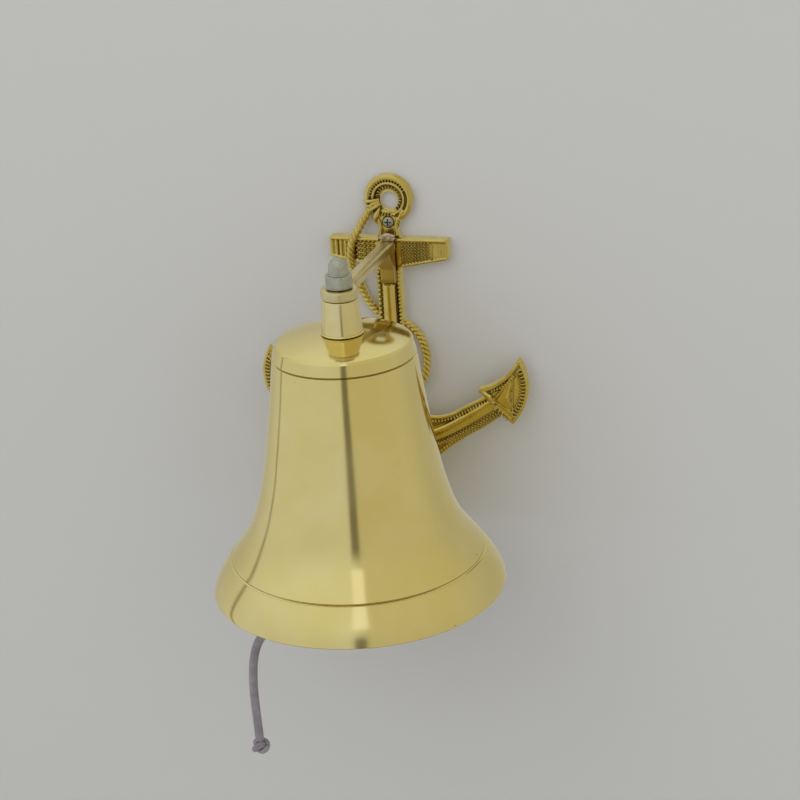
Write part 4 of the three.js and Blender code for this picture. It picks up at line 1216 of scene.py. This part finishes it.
def moved(shell, x=0.0, y=0.0, z=0.0):
    points, faces = shell
    return [(px + x, py + y, pz + z) for px, py, pz in points], faces


# %% Make both screws
SCREW_LENGTH = 28.0
for node, height in SCREW_HEIGHTS.items():
    under = SEAT_DEPTH + 0.3
    head = [(0, under - 2), (SCREW_SHANK_RADIUS - 0.1, under - 2), (SCREW_SHANK_RADIUS - 0.1, under),
            (SCREW_HEAD_RADIUS - 0.2, under), (SCREW_HEAD_RADIUS, under + 0.3),
            (SCREW_HEAD_RADIUS, under + 1.2)]
    crown_of_head = [(SCREW_HEAD_RADIUS * math.cos(a), under + 1.2 + 1.5 * math.sin(a))
                     for a in np.linspace(0.15, math.pi / 2, 9)]
    crown_of_head[-1] = (0, under + 2.7)
    screw = made(node + "_steel", [along_wall_normal(head + crown_of_head, height)])
    recess = []
    for half_x, half_z in ((0.42, 1.9), (1.9, 0.42)):
        recess.append(([(x, y, z + height) for x in (-half_x, half_x) for y in (-under - 5, -under - 1.3)
                        for z in (-half_z, half_z)], slab[1]))
    for bar_shell in recess:
        cut(screw, [bar_shell])
    softened(screw, 0.08)
    shaft_points, shaft_faces = threaded(SCREW_SHANK_RADIUS, 1.4, under - SCREW_LENGTH, under - 0.2, 4.0)
    shaft = made("shaft", [([(x, -z, y + height) for x, y, z in shaft_points], shaft_faces)])
    finish_piece(merge(screw, shaft), "root", ZINC, "zinc_steel", node)

# %% [markdown]
# ## The bracket arm
# A flat bar reaches out from the root to a round eye over the bell. Its foot stands on the shank with
# a small gusset in the angle. The bar, the eye and the foot are one piece of brass, filed smooth, so
# they are skinned together like the anchor, but with a finer voxel.

# %% Make the arm
arm_low, arm_high = low_high("bracket_arm")
ARM_WIDTH, ARM_THICKNESS, EYE_RADIUS = 7.6, 5.2, 9.6
EYE_TOP = arm_high[2]
EYE_BOTTOM = EYE_TOP - ARM_THICKNESS
ARM_BACK = arm_high[1]
FOOT_BOTTOM, FOOT_HALF_WIDTH, FOOT_DEPTH, GUSSET_REACH = arm_low[2], 3.9, 3.4, 11.0


def standing(outline_shell, bottom):
    """A plate drawn on the wall, laid flat instead, with its softened face up."""
    points, faces = outline_shell
    return [(x, z, bottom - y) for x, y, z in points], faces


def bar_section(y):
    """Width of the bar, which swells a little towards the eye and the root."""
    at_root = max(0.0, 1 - abs(y - ARM_BACK) / 9)
    at_eye = max(0.0, 1 - abs(y - AXIS_Y - 9.5) / 6)
    return ARM_WIDTH / 2 + 0.5 * at_root + 1.4 * at_eye


bar_y = np.linspace(ARM_BACK, AXIS_Y, 40)
bar_outline = [(bar_section(y), y) for y in bar_y] + [(-bar_section(y), y) for y in reversed(bar_y)]
bar_half = standing(plate(bar_outline, ARM_THICKNESS, 2.2), EYE_BOTTOM)
eye_profile = [(0, 0), (EYE_RADIUS - 0.8, 0), (EYE_RADIUS - 0.2, 0.25), (EYE_RADIUS, 0.9),
               (EYE_RADIUS, ARM_THICKNESS - 1.1), (EYE_RADIUS - 0.3, ARM_THICKNESS - 0.3),
               (EYE_RADIUS - 1.1, ARM_THICKNESS), (0, ARM_THICKNESS)]
foot_outline = [
    (ARM_BACK, FOOT_BOTTOM), (ARM_BACK - FOOT_DEPTH + 1, FOOT_BOTTOM),
    (ARM_BACK - FOOT_DEPTH, FOOT_BOTTOM + 2), (ARM_BACK - FOOT_DEPTH, -10),
    (ARM_BACK - GUSSET_REACH, EYE_BOTTOM + 2), (ARM_BACK - GUSSET_REACH, EYE_TOP - 1.6),
    (ARM_BACK, EYE_TOP - 1.6),
]
count = len(foot_outline)
foot = ([(x, y, z) for x in (-FOOT_HALF_WIDTH, FOOT_HALF_WIDTH) for y, z in foot_outline],
        [tuple(reversed(range(count))), tuple(range(count, 2 * count))]
        + [(i, (i + 1) % count, count + (i + 1) % count, count + i) for i in range(count)])
eye = turned(eye_profile, 96, (0, AXIS_Y, EYE_BOTTOM))
arm = skinned("bracket_arm_bar", [bar_half, foot, eye], 0.25, rounds=12)
cut(arm, [turned([(0, -2), (STUD_HOLE, -2), (STUD_HOLE, ARM_THICKNESS + 2), (0, ARM_THICKNESS + 2)], 64,
                 (0, AXIS_Y, EYE_BOTTOM))])
thin = arm.modifiers.new("thin", "DECIMATE")
thin.ratio = 0.45
settle(arm)
arm.data.shade_smooth()
arm.data.set_sharp_from_angle(angle=math.radians(50))
finish_piece(arm, "root", SATIN_BRASS, "satin_brass", "bracket_arm")

# %% [markdown]
# ### The braze
# The filler metal that joins the arm to the neck froze as an uneven bead, so it is a few lumps pushed
# about by a noise and skinned.

# %% Make the braze bead
braze_low, braze_high = low_high("braze_bead")
braze_centre = (braze_low + braze_high) / 2
braze_half = (braze_high - braze_low) / 2
lumps = []
for x, z, wide, tall in ((0.3, 0, 0.62, 1.0), (-1.9, -0.5, 0.55, 0.8), (2.4, -0.2, 0.55, 1.0),
                         (0.9, -1.3, 0.8, 0.8), (3.2, -1.4, 0.3, 0.6)):
    size = (braze_half[0] * wide, braze_half[1], braze_half[2] * tall)
    lumps.append(bead(tuple(braze_centre + (x, 0, z)), size, 0, 10, 18))
weld = skinned("braze_filler", lumps, 0.2)
for vertex in weld.data.vertices:
    push = noise.noise(vertex.co / (1.3 * MM)) * 0.28 * MM
    vertex.co += vertex.normal * push
finish_piece(weld, "root", BRAZE, "braze", "braze_bead")

# %% [markdown]
# ## Inside the bell
# A stud with an eye clamps the bell between the boss and a nut on a washer. A link hangs in the eye
# and the clapper's loop hangs in the link, so the clapper can swing every way.

# %% The eye bolt, washer and nut
bolt_low, bolt_high = low_high("eye_bolt")
STUD_RADIUS, BOLT_WIRE_RADIUS, BOLT_EYE_RADIUS = 4.0, 2.2, 6.0
bolt_eye_height = bolt_low[2] + BOLT_WIRE_RADIUS + BOLT_EYE_RADIUS


def wire_loop(radius, wire, height, plane):
    """A round loop of wire standing in the XZ or the YZ plane."""
    turns = np.linspace(0, FULL_TURN, 73)[:-1]
    a, b = radius * np.cos(turns), radius * np.sin(turns)
    still = np.zeros_like(a)
    line = np.stack([a, still, b] if plane == "XZ" else [still, a, b], axis=1) + (0, AXIS_Y, height)
    return swept(line, wire, sides=20, closed=True)


stud_bottom = bolt_eye_height + BOLT_EYE_RADIUS + 0.2
stud = moved(threaded(STUD_RADIUS - 0.05, 1.25, stud_bottom, bolt_high[2], sides=48), y=AXIS_Y)
bolt_eye = wire_loop(BOLT_EYE_RADIUS, BOLT_WIRE_RADIUS, bolt_eye_height, "YZ")
finish_piece(made("eye_bolt_steel", [stud, bolt_eye]), "root", ZINC, "zinc_steel", "eye_bolt")

washer_low, washer_high = low_high("inner_washer")
washer_height = washer_high[2] - washer_low[2]
washer_radius = (washer_high[0] - washer_low[0]) / 2
washer_profile = [(STUD_HOLE, 0), (washer_radius - 0.3, 0), (washer_radius, 0.3),
                  (washer_radius, washer_height - 0.2),
                  (washer_radius - 0.2, washer_height), (STUD_HOLE, washer_height), (STUD_HOLE, 0)]
washer = made("inner_washer_steel", [turned(washer_profile, 96, (0, AXIS_Y, washer_low[2]))])
finish_piece(washer, "root", ZINC, "zinc_steel", "inner_washer")

nut_low, nut_high = low_high("inner_nut")
inner_nut = hex_nut("inner_nut_steel", NUT_ACROSS_FLATS, nut_high[2] - nut_low[2], STUD_HOLE, 0,
                    (0, AXIS_Y, nut_low[2]))
finish_piece(inner_nut, "root", ZINC, "zinc_steel", "inner_nut")

# %% The link
link_high = low_high("clapper_link")[1]
LINK_WIRE, LINK_HALF_WIDTH, LINK_STRAIGHT = 1.7, 5.0, 9.0
link_top = link_high[2] - LINK_WIRE - LINK_HALF_WIDTH
upper_bend = [(LINK_HALF_WIDTH * math.cos(a), link_top + LINK_HALF_WIDTH * math.sin(a))
              for a in np.linspace(0, math.pi, 24)]
lower_bend = [(-LINK_HALF_WIDTH * math.cos(a), link_top - LINK_STRAIGHT - LINK_HALF_WIDTH * math.sin(a))
              for a in np.linspace(0, math.pi, 24)]
link_line = np.array([(x, AXIS_Y, z) for x, z in upper_bend + lower_bend])
link = made("clapper_link_wire", [swept(link_line, LINK_WIRE, sides=20, closed=True)])
finish_piece(link, "link", ZINC, "zinc_steel", "clapper_link")

# %% [markdown]
# ## The clapper
# A rod with a loop at its top and a flattened eye at its tail is one casting, so it is skinned. The
# ball slides on from below and a lock nut holds it.

# %% The rod
rod_high = low_high("clapper_rod")[1]
ball_low, ball_high = low_high("clapper_ball")
LOOP_RADIUS, LOOP_WIRE = 5.0, 1.8
ROD_RADIUS, TIP_RADIUS = 3.2, 2.6
TAIL_RADIUS, TAIL_THICKNESS, CORD_HOLE = 6.0, 5.0, 2.8
loop_height = rod_high[2] - LOOP_WIRE - LOOP_RADIUS
shoulder = ball_high[2] + 0.3
under_loop = loop_height - LOOP_RADIUS
stem = [(0, TAIL_HEIGHT), (TIP_RADIUS, TAIL_HEIGHT), (TIP_RADIUS, shoulder - 0.2),
        (ROD_RADIUS + 0.5, shoulder), (ROD_RADIUS + 0.5, shoulder + 2.5), (ROD_RADIUS, shoulder + 4),
        (ROD_RADIUS, under_loop - 5), (ROD_RADIUS + 0.6, under_loop - 2.5), (ROD_RADIUS - 0.6, under_loop),
        (0, under_loop)]
tail_half = TAIL_THICKNESS / 2
tail_profile = [(0, -tail_half), (TAIL_RADIUS - 0.8, -tail_half), (TAIL_RADIUS, -tail_half + 0.8),
                (TAIL_RADIUS, tail_half - 0.8), (TAIL_RADIUS - 0.8, tail_half), (0, tail_half)]
tail_points, tail_faces = turned(tail_profile, 64)
tail = ([(z, AXIS_Y + x, TAIL_HEIGHT + y) for x, y, z in tail_points], tail_faces)
rod_shells = [turned(stem, 48, (0, AXIS_Y, 0)), wire_loop(LOOP_RADIUS, LOOP_WIRE, loop_height, "YZ"), tail]
rod = skinned("clapper_rod_brass", rod_shells, 0.28, rounds=3)
drill_points, drill_faces = turned([(0, -6), (CORD_HOLE, -6), (CORD_HOLE, 6), (0, 6)], 48)
cut(rod, [([(z, AXIS_Y + x, TAIL_HEIGHT + y) for x, y, z in drill_points], drill_faces)])
thin = rod.modifiers.new("thin", "DECIMATE")
thin.ratio = 0.5
settle(rod)
rod.data.shade_smooth()
rod.data.set_sharp_from_angle(angle=math.radians(50))
finish_piece(rod, "clapper", TURNED_BRASS, "turned_brass", "clapper_rod")

# %% The ball and its lock nut
BALL_RADIUS = (ball_high[0] - ball_low[0]) / 2
ball_centre = (ball_low[2] + ball_high[2]) / 2
ball_half = (ball_high[2] - ball_low[2]) / 2
turn_limit = math.asin(ball_half / BALL_RADIUS)
bore = TIP_RADIUS + 0.3
ball_profile = [(bore, -ball_half)]
for turn in np.linspace(-turn_limit, turn_limit, 49):
    seam = 0.18 * math.exp(-(turn / 0.03) ** 2)  # a fine groove round the middle, left by the mould
    ball_profile.append(((BALL_RADIUS - seam) * math.cos(turn), BALL_RADIUS * math.sin(turn)))
ball_profile += [(bore, ball_half), (bore, -ball_half)]
ball = made("clapper_ball_brass", [turned(ball_profile, 96, (0, AXIS_Y, ball_centre))])
finish_piece(ball, "clapper", TURNED_BRASS, "turned_brass", "clapper_ball")

lock_low, lock_high = low_high("clapper_lock_nut")
LOCK_NUT_ACROSS_FLATS = 10.0
lock_nut = hex_nut("clapper_lock_nut_brass", LOCK_NUT_ACROSS_FLATS, lock_high[2] - lock_low[2], bore, 0,
                   (0, AXIS_Y, lock_low[2]))
finish_piece(lock_nut, "clapper", TURNED_BRASS, "turned_brass", "clapper_lock_nut")

# %% [markdown]
# ## The studio
# Polished brass shows what is round it more than it shows itself. The bell needs a bright, even
# surrounding, paler and cooler on its left, warmer and dimmer on its right, and one dark upright
# band in front that draws the line down its middle. The sky does that for the reflections alone,
# and a plain pale wall and floor are what the camera sees. An even daylight falls on whatever is
# not a mirror. The wall shows only its front, so that the object can also be looked at from behind,
# and the floor does the same from below.

# %% A plain pale wall and floor
def stage_plane(name, corners, color):
    """A plain plane that shows only its front, so that the object can be seen from behind it too."""
    mesh = bpy.data.meshes.new(name)
    mesh.from_pydata(corners, [], [(0, 1, 2, 3)])
    plane = bpy.data.objects.new(name, mesh)
    scene.collection.objects.link(plane)
    paint = bpy.data.materials.new(name)
    paint.use_nodes = True
    tree = paint.node_tree
    shader = tree.nodes["Principled BSDF"]
    shader.inputs["Base Color"].default_value = (*color, 1)
    shader.inputs["Roughness"].default_value = 0.9
    side = tree.nodes.new("ShaderNodeNewGeometry")
    clear = tree.nodes.new("ShaderNodeBsdfTransparent")
    choice = tree.nodes.new("ShaderNodeMixShader")
    tree.links.new(side.outputs["Backfacing"], choice.inputs[0])
    tree.links.new(shader.outputs[0], choice.inputs[1])
    tree.links.new(clear.outputs[0], choice.inputs[2])
    tree.links.new(choice.outputs[0], tree.nodes["Material Output"].inputs["Surface"])
    mesh.materials.append(paint)
    plane.visible_glossy = False  # the brass mirrors the sky alone, which is drawn for it below
    return plane


WALL_BEHIND = 0.0004  # the wall stands this far behind the casting's flat back
FLOOR_LEVEL = -0.62
WALL_HALF, WALL_HEIGHT = 2.0, 2.2
stage_plane("wall", [(-WALL_HALF, WALL_BEHIND, FLOOR_LEVEL), (WALL_HALF, WALL_BEHIND, FLOOR_LEVEL),
                     (WALL_HALF, WALL_BEHIND, WALL_HEIGHT), (-WALL_HALF, WALL_BEHIND, WALL_HEIGHT)],
            (0.64, 0.64, 0.635))
FLOOR_HALF = 4.0
stage_plane("floor", [(-FLOOR_HALF, -FLOOR_HALF, FLOOR_LEVEL), (FLOOR_HALF, -FLOOR_HALF, FLOOR_LEVEL),
                      (FLOOR_HALF, FLOOR_HALF, FLOOR_LEVEL), (-FLOOR_HALF, FLOOR_HALF, FLOOR_LEVEL)],
            (0.55, 0.545, 0.53))


# %% The sky that the brass mirrors
def make_sky():
    world = bpy.data.worlds.new("studio")
    scene.world = world
    world.use_nodes = True
    tree = world.node_tree
    tree.nodes.clear()

    def node(kind, **settings):
        made_node = tree.nodes.new(kind)
        for key, value in settings.items():
            setattr(made_node, key, value)
        return made_node

    def maths(operation, first, second=0.0):
        made_node = node("ShaderNodeMath", operation=operation)
        for socket, value in zip(made_node.inputs, (first, second)):
            if isinstance(value, (int, float)):
                socket.default_value = value
            else:
                tree.links.new(value, socket)
        return made_node.outputs[0]

    def ranged(value, low, high, to_low=0.0, to_high=1.0, smooth=True):
        made_node = node("ShaderNodeMapRange", interpolation_type="SMOOTHSTEP" if smooth else "LINEAR")
        tree.links.new(value, made_node.inputs["Value"])
        for socket, number in zip(("From Min", "From Max", "To Min", "To Max"),
                                  (low, high, to_low, to_high)):
            made_node.inputs[socket].default_value = number
        return made_node.outputs["Result"]

    def mixed(share, first, second):
        mix = node("ShaderNodeMix", data_type="RGBA")
        tree.links.new(share, mix.inputs["Factor"])
        for socket, colour in (("A", first), ("B", second)):
            target = [s for s in mix.inputs if s.name == socket and s.type == "RGBA"][0]
            if isinstance(colour, tuple):
                target.default_value = (*colour, 1)
            else:
                tree.links.new(colour, target)
        return [s for s in mix.outputs if s.type == "RGBA"][0]

    where = node("ShaderNodeSeparateXYZ")
    tree.links.new(node("ShaderNodeTexCoord").outputs["Generated"], where.inputs[0])
    x, y, z = (where.outputs[k] for k in "XYZ")
    # nought straight out from the wall, and growing to the right
    bearing = maths("ARCTAN2", x, maths("MULTIPLY", y, -1.0))
    right = ranged(bearing, BAND_BEARING - 0.06, BAND_BEARING + 0.10)
    far = ranged(maths("ABSOLUTE", bearing), WALL_BEARING - 0.10, WALL_BEARING + 0.7)
    sides = mixed(right, mixed(far, LEFT_LIGHT, WALL_LIGHT), mixed(far, RIGHT_LIGHT, WALL_LIGHT))
    ceiling = mixed(right, CEILING_LEFT, CEILING_RIGHT)
    upward = mixed(ranged(z, 0.10, 0.75), sides, ceiling)
    around = mixed(ranged(z, -0.9, -0.25), FLOOR_LIGHT, upward)
    edge = ranged(maths("ABSOLUTE", maths("ADD", bearing, WALL_BEARING)), 0.05, 0.01)
    cornered = mixed(maths("MULTIPLY", edge, 0.75), around, BAND_LIGHT)
    off_band = maths("ABSOLUTE", maths("SUBTRACT", bearing, BAND_BEARING))
    band = maths("MULTIPLY", ranged(off_band, BAND_HALF, BAND_HALF * 0.3), ranged(z, 0.55, 0.20))
    window = maths("MULTIPLY", ranged(off_band, BAND_HALF * 1.1, BAND_HALF * 0.8), ranged(z, 0.50, 0.58))
    mirrored = mixed(window, mixed(band, cornered, BAND_LIGHT), WINDOW_LIGHT)
    ray = node("ShaderNodeLightPath")
    lit = mixed(ray.outputs["Is Diffuse Ray"], mirrored, DAYLIGHT)
    seen = mixed(ray.outputs["Is Camera Ray"], lit, (0.72, 0.72, 0.71))
    background = node("ShaderNodeBackground")
    tree.links.new(seen, background.inputs["Color"])
    tree.links.new(background.outputs[0], node("ShaderNodeOutputWorld").inputs["Surface"])


LEFT_LIGHT, RIGHT_LIGHT, WALL_LIGHT = (0.66, 0.68, 0.68), (0.575, 0.555, 0.44), (0.50, 0.49, 0.42)
CEILING_LEFT, CEILING_RIGHT, FLOOR_LIGHT = (0.76, 0.78, 0.72), (0.61, 0.59, 0.45), (0.40, 0.38, 0.31)
BAND_LIGHT, WINDOW_LIGHT = (0.20, 0.19, 0.16), (0.95, 0.97, 1.0)
DAYLIGHT = (0.90, 0.90, 0.90)
BAND_BEARING, BAND_HALF, WALL_BEARING = math.radians(17), math.radians(7), math.radians(97)
make_sky()


# %% Soft lamps
def soft_lamp(name, place, target, size, power, color=(1, 1, 1)):
    light = bpy.data.lights.new(name, "AREA")
    light.shape, light.size, light.energy, light.color = "DISK", size, power, color
    lamp = bpy.data.objects.new(name, light)
    lamp.location = place
    lamp.rotation_euler = (Vector(target) - Vector(place)).to_track_quat("-Z", "Y").to_euler()
    lamp.visible_glossy = False  # it lights the wall and the cord without a white spot on the brass
    scene.collection.objects.link(lamp)
    return lamp


middle = (0, AXIS_Y * MM, -0.05)
soft_lamp("key_from_upper_left", (-0.5, -1.1, 0.8), middle, 1.0, 1.3, (1.0, 1.0, 0.98))
soft_lamp("fill_from_right", (1.3, -1.0, 0.6), middle, 1.2, 1.0, (1.0, 0.97, 0.92))
scene.view_settings.view_transform = "Standard"
